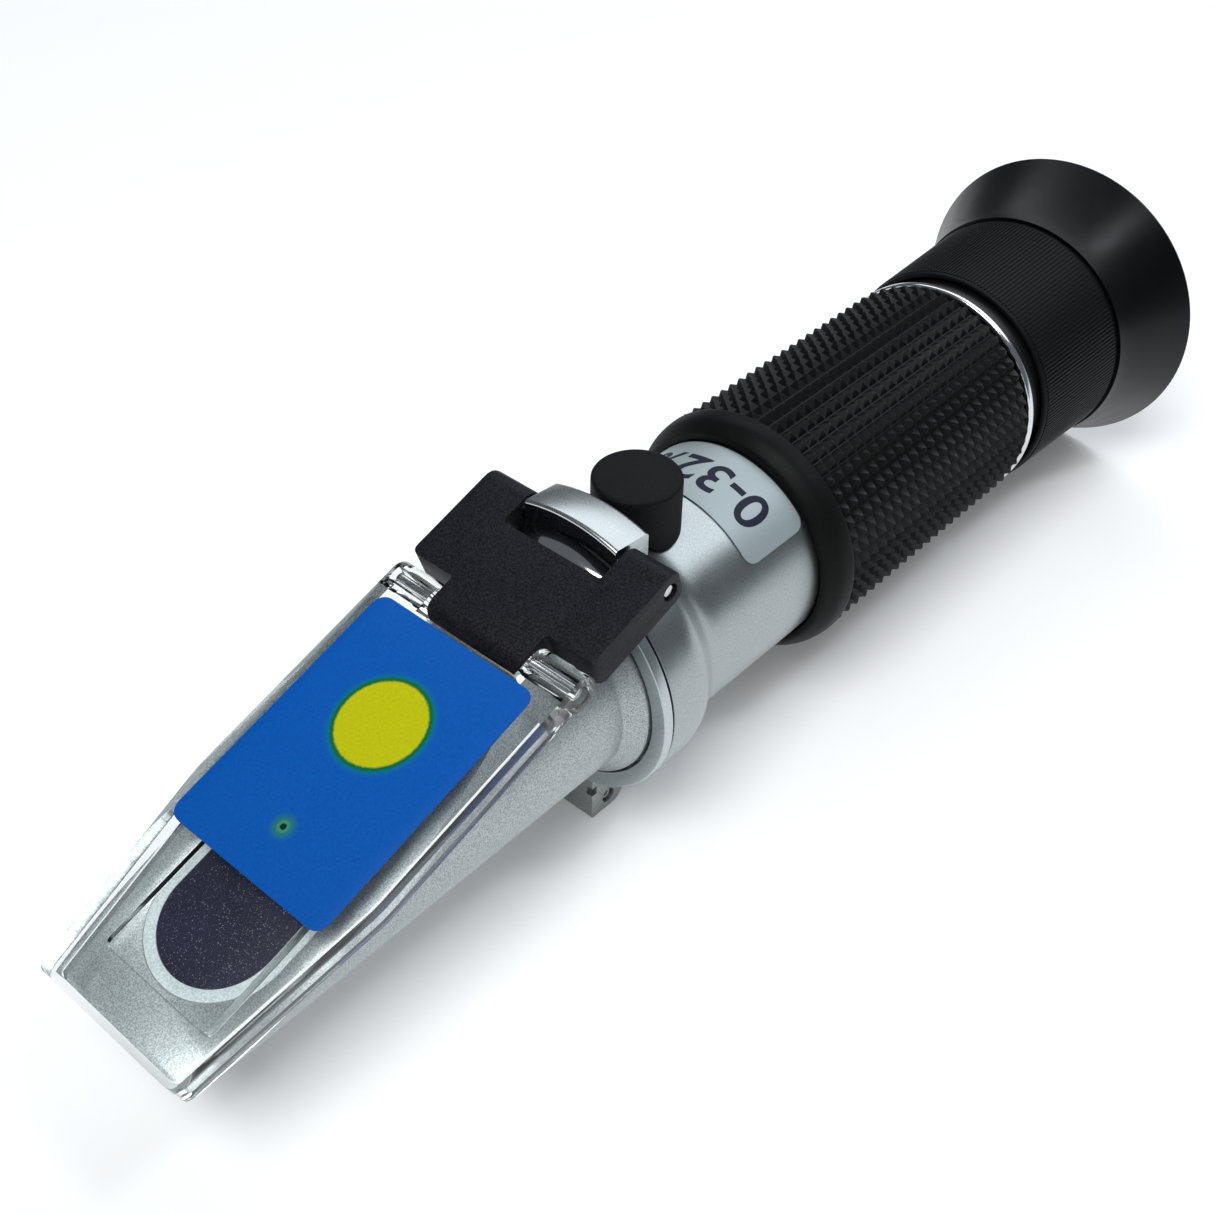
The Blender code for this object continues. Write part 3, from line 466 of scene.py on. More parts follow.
EYECUP_RUBBER = skin("satin eyecup rubber", (0.0005, 0.0005, 0.001), (0.002, 0.002, 0.003), 0.34, grain=0.2,
                     contrast=0.5, depth=0.003, smudge=0.1, dust=0.02, Specular_IOR_Level=0.2)
FOCUS_SKIN = skin("ribbed black moulding", (0.002, 0.002, 0.0023), (0.006, 0.006, 0.007), 0.45, grain=0.16,
                  contrast=0.8, depth=0.006, dust=0.04, Specular_IOR_Level=0.12)
ANODISED = skin("black anodised metal", (0.004, 0.004, 0.005), (0.010, 0.010, 0.011), 0.35, 0.3,
                grain=0.12, depth=0.003)
# second colour: the painted sheen of the stud tips
GRIP_RUBBER = worn_tips_with_painted_sheen("knurled grip rubber", (0.0008, 0.0008, 0.0008), (0.010, 0.010, 0.011))
LABEL_FILM = skin("silver label film", (0.31, 0.37, 0.385), (0.37, 0.43, 0.445), 0.42, 0.35, grain=0.2,
                  contrast=0.4, depth=0.002)
INK = skin("navy label ink", (0.006, 0.008, 0.022), (0.010, 0.013, 0.034), 0.5, grain=0.15, depth=0.001,
           Specular_IOR_Level=0.2)
SEALANT = skin("pale sealant", (0.26, 0.30, 0.305), (0.40, 0.44, 0.445), 0.5, grain=0.2, contrast=1.2,
               depth=0.01)
BIMETAL = skin("rolled bimetal", (0.42, 0.30, 0.16), (0.55, 0.42, 0.25), 0.3, 1.0, grain=0.2, depth=0.003)
PRISM = prism_face()
FILM = blue_film()
ACRYLIC = acrylic("clear acrylic", 0.015, 0.0)
FROSTED = acrylic("ground acrylic", 0.03, 0.05)
LENS = lens_glass()


# ---------------------------------------------------------------- mesh building

def softened(points, closed=True, steps=4):
    """Points with (x, y, setback) corners replaced by short curves."""
    made = []
    count = len(points)
    for index, point in enumerate(points):
        setback = point[2] if len(point) > 2 else 0.0
        inner = closed or 0 < index < count - 1
        if not setback or not inner:
            made.append((point[0], point[1]))
            continue
        here = Vector(point[:2])
        before = Vector(points[index - 1][:2]) - here
        after = Vector(points[(index + 1) % count][:2]) - here
        start = here + before.normalized() * min(setback, before.length * 0.49)
        end = here + after.normalized() * min(setback, after.length * 0.49)
        for step in range(steps + 1):
            t = step / steps
            spot = start * (1 - t) ** 2 + here * 2 * t * (1 - t) + end * t ** 2
            made.append((spot.x, spot.y))
    return made


def arc(centre, radius, start, end, steps):
    """Points of an arc, from one angle to another in degrees."""
    angles = [math.radians(start + (end - start) * step / steps) for step in range(steps + 1)]
    return [(centre[0] + radius * math.cos(a), centre[1] + radius * math.sin(a)) for a in angles]


def stadium(ends, radius, steps=32):
    """Long hole's outline: two half rounds about two centres on the first axis."""
    return arc((ends[1], 0.0), radius, -90, 90, steps) + arc((ends[0], 0.0), radius, 90, 270, steps)


def lathe(profile, sides=FINE, frame_of=AXIS):
    """Closed mesh of revolution about local Z from (radius, station, setback) points."""
    tube = profile[0][0] > 0.0
    points = softened(profile, closed=tube)
    shape = bmesh.new()
    rings = []
    for radius, station in points:
        if radius < 1e-6:
            rings.append([shape.verts.new((0.0, 0.0, station * MM))])
            continue
        rings.append([shape.verts.new((radius * math.cos(2 * math.pi * k / sides) * MM,
                                       radius * math.sin(2 * math.pi * k / sides) * MM, station * MM))
                      for k in range(sides)])
    pairs = list(zip(rings, rings[1:] + rings[:1] if tube else rings[1:]))
    for low, high in pairs:
        for k in range(sides):
            corners = [low[k % len(low)], high[k % len(high)], high[(k + 1) % len(high)],
                       low[(k + 1) % len(low)]]
            unique = list(dict.fromkeys(corners))
            if len(unique) > 2:
                shape.faces.new(unique)
    bmesh.ops.recalc_face_normals(shape, faces=shape.faces)
    return to_mesh(shape, frame_of)


def to_mesh(shape, frame_of=None):
    """Mesh of a working shape, carried into a frame where one is given."""
    mesh = bpy.data.meshes.new("shape")
    shape.to_mesh(mesh)
    shape.free()
    if frame_of is not None:
        mesh.transform(frame_of)
    return mesh


def temporary(data):
    """Working object for a mesh or a curve."""
    thing = bpy.data.objects.new("working", data)
    bpy.context.scene.collection.objects.link(thing)
    return thing


def applied(thing, *tools):
    """Mesh of a working object with its modifiers applied. The object and its tools are then removed."""
    bpy.context.view_layer.update()
    mesh = bpy.data.meshes.new_from_object(thing.evaluated_get(bpy.context.evaluated_depsgraph_get()))
    for each in (thing, *tools):
        bpy.data.objects.remove(each, do_unlink=True)
    return mesh


def slab(loops, low, high, frame_of):
    """Closed mesh of a flat outline, with any inner loops as holes, from low to high along local Z."""
    curve = bpy.data.curves.new("outline", "CURVE")
    curve.dimensions = "2D"
    curve.fill_mode = "BOTH"
    curve.extrude = (high - low) / 2 * MM
    for loop in loops:
        spline = curve.splines.new("POLY")
        spline.points.add(len(loop) - 1)
        for point, (u, v) in zip(spline.points, loop):
            point.co = (u * MM, v * MM, 0.0, 1.0)
        spline.use_cyclic_u = True
    shape = bmesh.new()
    shape.from_mesh(applied(temporary(curve)))
    bmesh.ops.remove_doubles(shape, verts=shape.verts, dist=1e-7)
    bmesh.ops.recalc_face_normals(shape, faces=shape.faces)
    return to_mesh(shape, frame_of @ Matrix.Translation((0, 0, (low + high) / 2 * MM)))


def bar(start, end, radius, frame_of, sides=MEDIUM):
    """Round bar between two points of a frame."""
    start = Vector(start) * MM
    end = Vector(end) * MM
    shape = bmesh.new()
    turn = Vector((0, 0, 1)).rotation_difference(end - start).to_matrix().to_4x4()
    bmesh.ops.create_cone(shape, cap_ends=True, segments=sides, radius1=radius * MM, radius2=radius * MM,
                          depth=(end - start).length, matrix=Matrix.Translation((start + end) / 2) @ turn)
    return to_mesh(shape, frame_of)


def block(low, high, frame_of):
    """Square block between two opposite corners of a frame."""
    low = Vector(low) * MM
    high = Vector(high) * MM
    shape = bmesh.new()
    bmesh.ops.create_cube(shape, size=1.0, matrix=Matrix.Translation((low + high) / 2)
                          @ Matrix.Diagonal((*(high - low), 1.0)))
    return to_mesh(shape, frame_of)


def carved(mesh, steps=(), bevel=0.0, segments=3):
    """Mesh after booleans, each an (operation, mesh) pair, and a bevel of its sharp edges."""
    base = temporary(mesh)
    tools = []
    for operation, tool_mesh in steps:
        tool = temporary(tool_mesh)
        tools.append(tool)
        cut = base.modifiers.new("cut", "BOOLEAN")
        cut.operation = operation
        cut.solver = "EXACT"
        cut.object = tool
    if bevel:
        base.modifiers.new("weld", "WELD").merge_threshold = 0.008 * MM
        edge = base.modifiers.new("edge", "BEVEL")
        edge.width = bevel * MM
        edge.segments = segments
        edge.limit_method = "ANGLE"
        edge.angle_limit = math.radians(34.0)
        edge.miter_outer = "MITER_ARC"
    return applied(base, *tools)


def flattened(mesh):
    """Mesh with its slivers merged and its flat faces made whole, ready for a bevel."""
    shape = bmesh.new()
    shape.from_mesh(mesh)
    bmesh.ops.remove_doubles(shape, verts=shape.verts, dist=0.01 * MM)
    bmesh.ops.dissolve_degenerate(shape, edges=shape.edges, dist=0.005 * MM)
    bmesh.ops.dissolve_limit(shape, angle_limit=math.radians(0.5), verts=shape.verts, edges=shape.edges)
    return to_mesh(shape)


def joined(*meshes):
    """Several meshes as one."""
    shape = bmesh.new()
    for mesh in meshes:
        shape.from_mesh(mesh)
    return to_mesh(shape)


def two_finishes(mesh, common, special, is_special):
    """Mesh in one finish, apart from the faces that the test picks."""
    mesh.materials.clear()
    mesh.materials.append(common)
    mesh.materials.append(special)
    for face in mesh.polygons:
        face.material_index = int(is_special(face))
    return mesh


def add_piece(name, mesh, material, body, nodes=(), sharp=32.0):
    """Put a finished piece on its body, standing for the nodes it replaces."""
    mesh.name = name
    if material is not None:
        mesh.materials.clear()
        mesh.materials.append(material)
    mesh.shade_smooth()
    mesh.set_sharp_from_angle(angle=math.radians(sharp))
    thing = bpy.data.objects.new(name, mesh)
    bpy.context.scene.collection.objects.link(thing)
    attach(thing, body)
    if nodes:
        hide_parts(*nodes)
    return thing


# ---------------------------------------------------------------- repeated shapes by geometry nodes

def make_sleeve_tree():
    """Copies of a stud set in rows round the barrel's axis, each standing square to the surface."""
    tree = bpy.data.node_groups.new("Studs round a sleeve", "GeometryNodeTree")
    sockets = {}
    for label, kind, default in (("Geometry", "NodeSocketGeometry", None),
                                 ("Rows", "NodeSocketInt", 1), ("Around", "NodeSocketInt", 50),
                                 ("First station", "NodeSocketFloat", 0.0),
                                 ("Pitch", "NodeSocketFloat", 0.001),
                                 ("Radius", "NodeSocketFloat", 0.01),
                                 ("Material", "NodeSocketMaterial", None)):
        sockets[label] = tree.interface.new_socket(label, in_out="INPUT", socket_type=kind)
        if default is not None:
            sockets[label].default_value = default
    tree.interface.new_socket("Geometry", in_out="OUTPUT", socket_type="NodeSocketGeometry")
    board = Board(tree)
    start = board.node("NodeGroupInput")
    end = board.node("NodeGroupOutput")
    first = board.node("ShaderNodeCombineXYZ", {"X": start.outputs["First station"]})
    step = board.node("ShaderNodeCombineXYZ", {"X": start.outputs["Pitch"]})
    line = board.node("GeometryNodeMeshLine", {"Count": start.outputs["Rows"],
                                               "Start Location": first.outputs[0],
                                               "Offset": step.outputs[0]})
    circle = board.node("GeometryNodeMeshCircle", {"Vertices": start.outputs["Around"],
                                                   "Radius": start.outputs["Radius"]})
    upright = board.node("GeometryNodeTransform", {"Geometry": circle.outputs[0],
                                                   "Rotation": (0.0, math.pi / 2, 0.0)})
    rings = board.node("GeometryNodeInstanceOnPoints", {"Points": line.outputs[0],
                                                        "Instance": upright.outputs[0]})
    spots = board.node("GeometryNodeRealizeInstances", {"Geometry": rings.outputs[0]})
    spot = board.node("ShaderNodeSeparateXYZ", {0: board.node("GeometryNodeInputPosition").outputs[0]})
    outward = board.node("ShaderNodeCombineXYZ", {"Y": spot.outputs["Y"], "Z": spot.outputs["Z"]})
    turn = board.node("FunctionNodeAlignRotationToVector", {"Vector": outward.outputs[0]}, axis="Z",
                      pivot_axis="X")
    studs = board.node("GeometryNodeInstanceOnPoints", {"Points": spots.outputs[0],
                                                        "Instance": start.outputs["Geometry"],
                                                        "Rotation": turn.outputs[0]})
    real = board.node("GeometryNodeRealizeInstances", {"Geometry": studs.outputs[0]})
    painted = board.node("GeometryNodeSetMaterial", {"Geometry": real.outputs[0],
                                                     "Material": start.outputs["Material"]})
    board.feed(end.inputs[0], painted.outputs[0])
    return tree, sockets


SLEEVE_TREE, SLEEVE_SOCKETS = make_sleeve_tree()


def studded(stud, material, rows, around, first, pitch, radius):
    """Mesh of all the studs of a sleeve, in place round the barrel."""
    thing = temporary(stud)
    maker = thing.modifiers.new("studs", "NODES")
    maker.node_group = SLEEVE_TREE
    for label, value in (("Rows", rows), ("Around", around), ("First station", first * MM),
                         ("Pitch", pitch * MM), ("Radius", radius * MM), ("Material", material)):
        maker[SLEEVE_SOCKETS[label].identifier] = value
    mesh = applied(thing)
    mesh.transform(design_frame())
    return mesh


def pyramid(length, width, height, tip=0.1, sunk=0.12):
    """Blunt four-sided stud standing on Z, its closed foot sunk a little below the surface."""
    shape = bmesh.new()
    foot = [shape.verts.new((x * length / 2 * MM, y * width / 2 * MM, -sunk * MM))
            for x, y in ((-1, -1), (1, -1), (1, 1), (-1, 1))]
    top = [shape.verts.new((x * tip * MM, y * tip * MM, height * MM))
           for x, y in ((-1, -1), (1, -1), (1, 1), (-1, 1))]
    shape.faces.new(reversed(foot))
    shape.faces.new(top)
    for k in range(4):
        shape.faces.new((foot[k], foot[(k + 1) % 4], top[(k + 1) % 4], top[k]))
    return to_mesh(shape)


def rib(length, width, height, drop):
    """Long ridge along X standing on Z, whose front end is lower by drop."""
    shape = bmesh.new()
    ends = []
    for side, fall in ((-1, 0.0), (1, drop)):
        x = side * length / 2 * MM
        section = ((-width / 2, -0.1), (-width / 3, height * 0.7), (0.0, height), (width / 3, height * 0.7),
                   (width / 2, -0.1))
        ends.append([shape.verts.new((x, y * MM, (z - fall) * MM)) for y, z in section])
    for k in range(5):
        shape.faces.new((ends[0][k], ends[1][k], ends[1][(k + 1) % 5], ends[0][(k + 1) % 5]))
    shape.faces.new(ends[0])
    shape.faces.new(reversed(ends[1]))
    bmesh.ops.recalc_face_normals(shape, faces=shape.faces)
    return to_mesh(shape)


# ---------------------------------------------------------------- the pieces

def dress_barrel():
    body = lathe([(COLLAR_RADIUS, BARREL_FRONT, 0.25), (COLLAR_RADIUS, SHOULDER_TOP, 1.4),
                  (BARREL_RADIUS, SHOULDER_FOOT, 1.5), (BARREL_RADIUS, BARREL_REAR, 0.1),
                  (BARREL_BORE, BARREL_REAR, 0.1), (BARREL_BORE, BARREL_FRONT, 0.1)], WIDE)
    boss = bar((0, 0, 11.9), (0, 0, BOSS_TOP), BOSS_RADIUS, UPRIGHT)
    hole = bar((0, 0, 9.0), (0, 0, 18.0), SCREW_HOLE, UPRIGHT)
    anchor = bar((ANCHOR_STATION, 0, 10.0), (ANCHOR_STATION, 0, 14.0), ANCHOR_HOLE, design_frame())
    tube = carved(body, [("UNION", boss), ("DIFFERENCE", hole), ("DIFFERENCE", anchor)])
    add_piece("barrel_tube", tube, SATIN, BARREL, ["barrel"])


def wrapped(mesh, radius):
    """Bend a flat mesh round the barrel: its X runs round towards -Y, and its Y along the barrel."""
    for vert in mesh.vertices:
        around, along, lift = vert.co
        angle = -around / (radius * MM)
        reach = radius * MM + lift
        vert.co = (along, reach * math.sin(angle), reach * math.cos(angle))
    mesh.transform(design_frame())
    return mesh


def sliced(mesh, step=0.5):
    """Cut a flat mesh into strips across X, so that it bends smoothly."""
    shape = bmesh.new()
    shape.from_mesh(mesh)
    low = min(vert.co.x for vert in shape.verts)
    high = max(vert.co.x for vert in shape.verts)
    at = low + step * MM
    while at < high:
        bmesh.ops.bisect_plane(shape, geom=shape.verts[:] + shape.edges[:] + shape.faces[:],
                               plane_co=(at, 0, 0), plane_no=(1, 0, 0))
        at += step * MM
    return to_mesh(shape)


def dress_barrel_label():
    half = math.radians(LABEL_HALF_ANGLE) * LABEL_RADIUS
    corners = ((half, LABEL_REAR), (half, LABEL_FRONT), (-half, LABEL_FRONT), (-half, LABEL_REAR))
    outline = softened([(*corner, 1.7) for corner in corners], steps=8)
    film = slab([outline], -0.06, 0.06, Matrix.Identity(4))
    add_piece("barrel_label_film", wrapped(sliced(film), LABEL_RADIUS), LABEL_FILM, BARREL,
              ["barrel_label"])
    words = bpy.data.curves.new("range_mark", "FONT")
    words.body = "0-32%"
    words.size = MARK_SIZE * MM
    words.offset = 0.10 * MM
    words.extrude = 0.012 * MM
    words.align_x = "CENTER"
    words.align_y = "CENTER"
    mark = applied(temporary(words))
    mark.transform(Matrix.Translation((0, MARK_STATION * MM, 0.0)))
    add_piece("barrel_label_mark", wrapped(sliced(mark), MARK_RADIUS), INK, BARREL)


def clamp_slit():
    """Saw cut that splits the ring and its lug."""
    return block((95, -SLIT_HALF, -25), (110, SLIT_HALF, -12.5), design_frame())


def clamp_bar(low, high, radius, sides=MEDIUM):
    """Round bar across the lug, on the clamp screw's line."""
    return bar((CLAMP_STATION, low, CLAMP_HEIGHT), (CLAMP_STATION, high, CLAMP_HEIGHT), radius,
               design_frame(), sides)


def pin_bar(along, reach, radius, sides=TINY):
    """Round bar across the slope, on a hinge pin's line."""
    return bar((along, -reach, PIN_LEVEL), (along, reach, PIN_LEVEL), radius, WEDGE, sides)


def in_polished_hollow(face):
    reach = math.hypot(face.center.y, face.center.z - AXIS_Z)
    front = RIM_X + (BRACKET_FRONT - 0.1) * MM
    return face.center.x > front and reach < (BRACKET_CREST - 0.22) * MM and face.normal.x > 0.1


def dress_bracket():
    """Bracket on top of the ring: turned inside and out, with a polished hollow down to the ring's face."""
    fillet = RING_FRONT - BRACKET_FRONT
    hollow = [(radius, station) for station, radius in
              arc((RING_FRONT, COLLAR_ROOM + fillet), fillet, 270, 180, 16)]
    outline = ([(BRACKET_FOOT, RING_FRONT - 0.02)] + hollow
               + [(BRACKET_CREST, BRACKET_FRONT, 0.5), (18.95, BRACKET_REAR, 0.5),
                  (COLLAR_ROOM, BRACKET_REAR, 0.1), (COLLAR_ROOM, RING_REAR + 0.02),
                  (BRACKET_FOOT, RING_REAR + 0.02)])
    sides = block((90, -BRACKET_HALF_WIDTH, 5), (110, BRACKET_HALF_WIDTH, 30), design_frame())
    pin_hole = pin_bar(LINK_PIN_ALONG, 9, PIN_HOLE, MEDIUM)
    bracket = carved(lathe(outline, 360), [("INTERSECT", sides), ("DIFFERENCE", pin_hole)], bevel=0.22)
    add_piece("hinge_bracket", two_finishes(bracket, BRACKET_TOP, POLISH, in_polished_hollow), None, BARREL,
              ["hinge_ring"])


def dress_lug():
    """Split lug below the ring, with the grub screw that draws it together."""
    front = RING_FRONT - 0.15
    side = softened([(front, -13.0), (front, LUG_FOOT, 0.35), (LUG_REAR, LUG_FOOT, 2.0), (LUG_REAR, -13.0)])
    collar_room = lathe([(0, RING_REAR), (COLLAR_ROOM, RING_REAR), (COLLAR_ROOM, 90), (0, 90)], WIDE)
    neck_room = lathe([(0, 110), (RING_BORE, 110), (RING_BORE, 100), (0, 100)], WIDE)
    relief = block((104.0, 4.2, -16.6), (110, 9, -15.4), design_frame())
    cuts = [collar_room, neck_room, clamp_bar(-9, 9, CLAMP_BORE), clamp_slit(), relief]
    lug = carved(slab([side], -LUG_HALF_WIDTH, LUG_HALF_WIDTH, SIDE), [("DIFFERENCE", cut) for cut in cuts],
                 bevel=0.2)
    add_piece("hinge_lug", lug, LUG_SKIN, BARREL, ["hinge_ring"])
    reach = LUG_HALF_WIDTH - 0.35
    screw = clamp_bar(-reach, reach, CLAMP_SCREW_RADIUS, TINY)
    socket = clamp_bar(reach - 0.9, reach + 1, 0.38, 6)
    add_piece("clamp_grub_screw", carved(screw, [("DIFFERENCE", socket)], bevel=0.08), STEEL, BARREL,
              ["clamp_screw"])


def dress_hinge_ring():
    band = lathe([(COLLAR_RADIUS, RING_FRONT, 0.22), (COLLAR_RADIUS, RING_REAR, 0.12),
                  (RING_BORE, RING_REAR, 0.08), (RING_BORE, RING_FRONT, 0.12)], WIDE)
    add_piece("hinge_ring_band", carved(band, [("DIFFERENCE", clamp_slit())]), RING_SKIN, BARREL,
              ["hinge_ring"])
    dress_bracket()
    dress_lug()


def dress_housing():
    body = lathe([(0, 165), (HOUSING_RADIUS, 165), (HOUSING_RADIUS, NECK_FRONT, 0.25),
                  (NECK_RADIUS, NECK_REAR, 0.3), (NECK_RADIUS, RING_REAR, 0.1), (SPIGOT_RADIUS, RING_REAR),
                  (SPIGOT_RADIUS, SPIGOT_REAR, 0.1), (LIGHT_BORE, SPIGOT_REAR, 0.1),
                  (LIGHT_BORE, LIGHT_END), (0, LIGHT_END)], WIDE)
    above = block((-30, -20, FACE_LEVEL), (70, 20, 40), WEDGE)
    beyond = block((TIP_ALONG, -20, -40), (80, 20, 40), WEDGE)
    pocket = slab([stadium(PRISM_CENTRES, PRISM_RADIUS + 1.3)], FACE_LEVEL - 3.0, FACE_LEVEL + 2, WEDGE)
    well = block((17.5, -5.3, -10.2), (38.5, 5.3, FACE_LEVEL), WEDGE)
    channel = bar((118.5, 0, CHANNEL_HEIGHT), (134.0, 0, CHANNEL_HEIGHT), CHANNEL_RADIUS, design_frame())
    room_side = (arc((COVER_PIN_ALONG, PIN_LEVEL), KNUCKLE_ROOM, -90, 0, 16)
                 + [(COVER_PIN_ALONG + KNUCKLE_ROOM, 5), (-20, 5), (-20, PIN_LEVEL - KNUCKLE_ROOM)])
    cuts = [above, beyond, pocket, well, channel, slab([room_side], -14, 14, WEDGE_SIDE)]
    for along in CRADLE_SCREWS:
        cuts.append(bar((along, 0, -9.0), (along, 0, -30), CRADLE_SCREW_HOLE, WEDGE, SMALL))
    mesh = carved(body, [("DIFFERENCE", cut) for cut in cuts], bevel=0.14, segments=2)
    add_piece("prism_wedge_housing", mesh, HOUSING_SKIN, BARREL, ["prism_housing"])


def dress_prism():
    """Prism in its pocket: a rounded window on a tapering root, and the sealant round it."""
    window = slab([stadium(PRISM_CENTRES, PRISM_RADIUS, 48)], FACE_LEVEL - 2.2, FACE_LEVEL, WEDGE)
    root = slab([[(19.0, FACE_LEVEL - 1.0), (23.5, -9.0), (37.5, -9.0), (37.5, FACE_LEVEL - 1.0)]],
                -4.7, 4.7, WEDGE_SIDE)
    add_piece("ground_prism", carved(window, [("UNION", root)], bevel=0.08, segments=2), PRISM, BARREL,
              ["main_prism"])
    outlines = [stadium(PRISM_CENTRES, PRISM_RADIUS + room, 48) for room in (1.25, 0.05)]
    ring = slab(outlines, FACE_LEVEL - 1.8, FACE_LEVEL, WEDGE)
    add_piece("prism_sealant_ring", carved(ring, bevel=0.1, segments=2), SEALANT, BARREL, ["prism_seal"])


def dress_link():
    side = (arc((COVER_PIN_ALONG, PIN_LEVEL), KNUCKLE_RADIUS, -90, 90, 28)
            + arc((LINK_PIN_ALONG, PIN_LEVEL), KNUCKLE_RADIUS, 90, 270, 28))
    half = [(-10.65, 6.65, 0.5), (-16.1, 6.65, 0.5), (-16.1, LINK_HALF_WIDTH, 1.0),
            (-2.75, LINK_HALF_WIDTH, 1.0), (-2.75, 6.4, 0.5), (1.95, 6.4, 1.0)]
    mirrored = [(along, -across, setback) for along, across, setback in reversed(half)]
    plan = slab([softened(half + mirrored, steps=6)], -9, 5, WEDGE)
    ring_room = lathe([(0, 105.4), (15.35, 105.4), (15.35, 90), (0, 90)], WIDE)
    cuts = [ring_room, pin_bar(LINK_PIN_ALONG, 15, PIN_HOLE), pin_bar(COVER_PIN_ALONG, 15, PIN_HOLE)]
    steps = [("INTERSECT", plan)] + [("DIFFERENCE", cut) for cut in cuts]
    plate = carved(slab([side], -LINK_HALF_WIDTH, LINK_HALF_WIDTH, WEDGE_SIDE), steps, bevel=0.3, segments=4)
    add_piece("hinge_link_plate", plate, LINK_SKIN, LINK, ["hinge_link"], sharp=50)
    for name, along, node in (("rear_hinge_pin", LINK_PIN_ALONG, "link_pin"),
                              ("front_hinge_pin", COVER_PIN_ALONG, "cover_pin")):
        pin = carved(pin_bar(along, LINK_HALF_WIDTH - 0.25, PIN_RADIUS), bevel=0.15)
        add_piece(name, pin, STEEL, LINK, [node])


def cover_outline(inset, rear, tip, corner):
    """Plan of the cover plate: straight at its rear, then tapering to its tip."""
    wide, narrow = COVER_WIDE - inset, COVER_NARROW - inset
    return softened([(rear, -wide), (COVER_SHOULDER, -wide, 1.0), (tip, -narrow, corner),
                     (tip, narrow, corner), (COVER_SHOULDER, wide, 1.0), (rear, wide)], steps=6)


def on_ground_pad(face):
    spot = WEDGE_INVERSE @ face.center
    along = PAD_REAR * MM < spot.x < PAD_FRONT * MM
    return along and abs(spot.y) < PAD_HALF_WIDTH * MM and spot.z < (PAD_LEVEL + 0.05) * MM


def dress_cover():
    """Clear plate: a flat top with a rim below it, two ears on the pin and a ground pad over the prism."""
    plate = slab([cover_outline(0.0, 2.9, COVER_TIP, 0.9)], -COVER_RIM, 0.0, WEDGE)
    ears = slab([arc((COVER_PIN_ALONG, PIN_LEVEL), KNUCKLE_RADIUS, 90, 318.8, 44)
                 + [(4.0, -COVER_RIM), (4.0, 0.0)]], -COVER_WIDE, COVER_WIDE, WEDGE_SIDE)
    hollow = slab([cover_outline(1.3, 4.5, COVER_TIP - 0.75, 0.7)], -9.0, -COVER_THICKNESS, WEDGE)
    corners = ((PAD_REAR, -PAD_HALF_WIDTH), (PAD_FRONT, -PAD_HALF_WIDTH), (PAD_FRONT, PAD_HALF_WIDTH),
               (PAD_REAR, PAD_HALF_WIDTH))
    pad = slab([softened([(*corner, 0.8) for corner in corners])], PAD_LEVEL, -1.8, WEDGE)
    slot = block((-9, -EARS_INNER, -9), (2.4, EARS_INNER, 9), WEDGE)
    solid = carved(plate, [("UNION", ears), ("DIFFERENCE", hollow), ("UNION", pad), ("DIFFERENCE", slot),
                           ("DIFFERENCE", pin_bar(COVER_PIN_ALONG, 15, PIN_HOLE))])
    cover = two_finishes(carved(flattened(solid), bevel=0.16), ACRYLIC, FROSTED, on_ground_pad)
    add_piece("clear_cover", cover, None, COVER, ["cover_plate"], sharp=40)
    label = softened([(2.7, -11.2, 1.7), (32.4, -11.2, 1.7), (32.5, 10.2, 1.7), (2.9, 10.2, 1.7)], steps=8)
    film = carved(slab([label], 0.03, 0.13, WEDGE), bevel=0.03, segments=2)
    add_piece("cover_blue_film", film, FILM, COVER, ["cover_label"])


def dress_cap():
    cap = lathe([(0, CAP_TOP), (CAP_RADIUS, CAP_TOP, 0.45), (CAP_RADIUS, 10.0), (CAP_BORE, 10.0),
                 (CAP_BORE, CAP_CEILING, 0.3), (0, CAP_CEILING)], MEDIUM, UPRIGHT)
    barrel_room = lathe([(0, 110), (COLLAR_ROOM, 110), (COLLAR_ROOM, 97.7, 0.6), (13.05, 94.1, 1.0),
                         (13.05, 80), (0, 80)], WIDE)
    add_piece("screw_cap", carved(cap, [("DIFFERENCE", barrel_room)]), CAP_RUBBER, CAP,
              ["calibration_cap"])
    screw = lathe([(0, 16.8), (2.1, 16.8, 0.25), (2.1, 15.9, 0.1), (1.25, 15.9), (1.25, 10.8, 0.25),
                   (0, 10.8)], SMALL, UPRIGHT)
    slot = block((-3, -0.3, 16.3), (3, 0.3, 18), UPRIGHT)
    add_piece("slotted_screw", carved(screw, [("DIFFERENCE", slot)], bevel=0.05, segments=2), STEEL, SCREW,
              ["calibration_screw"])


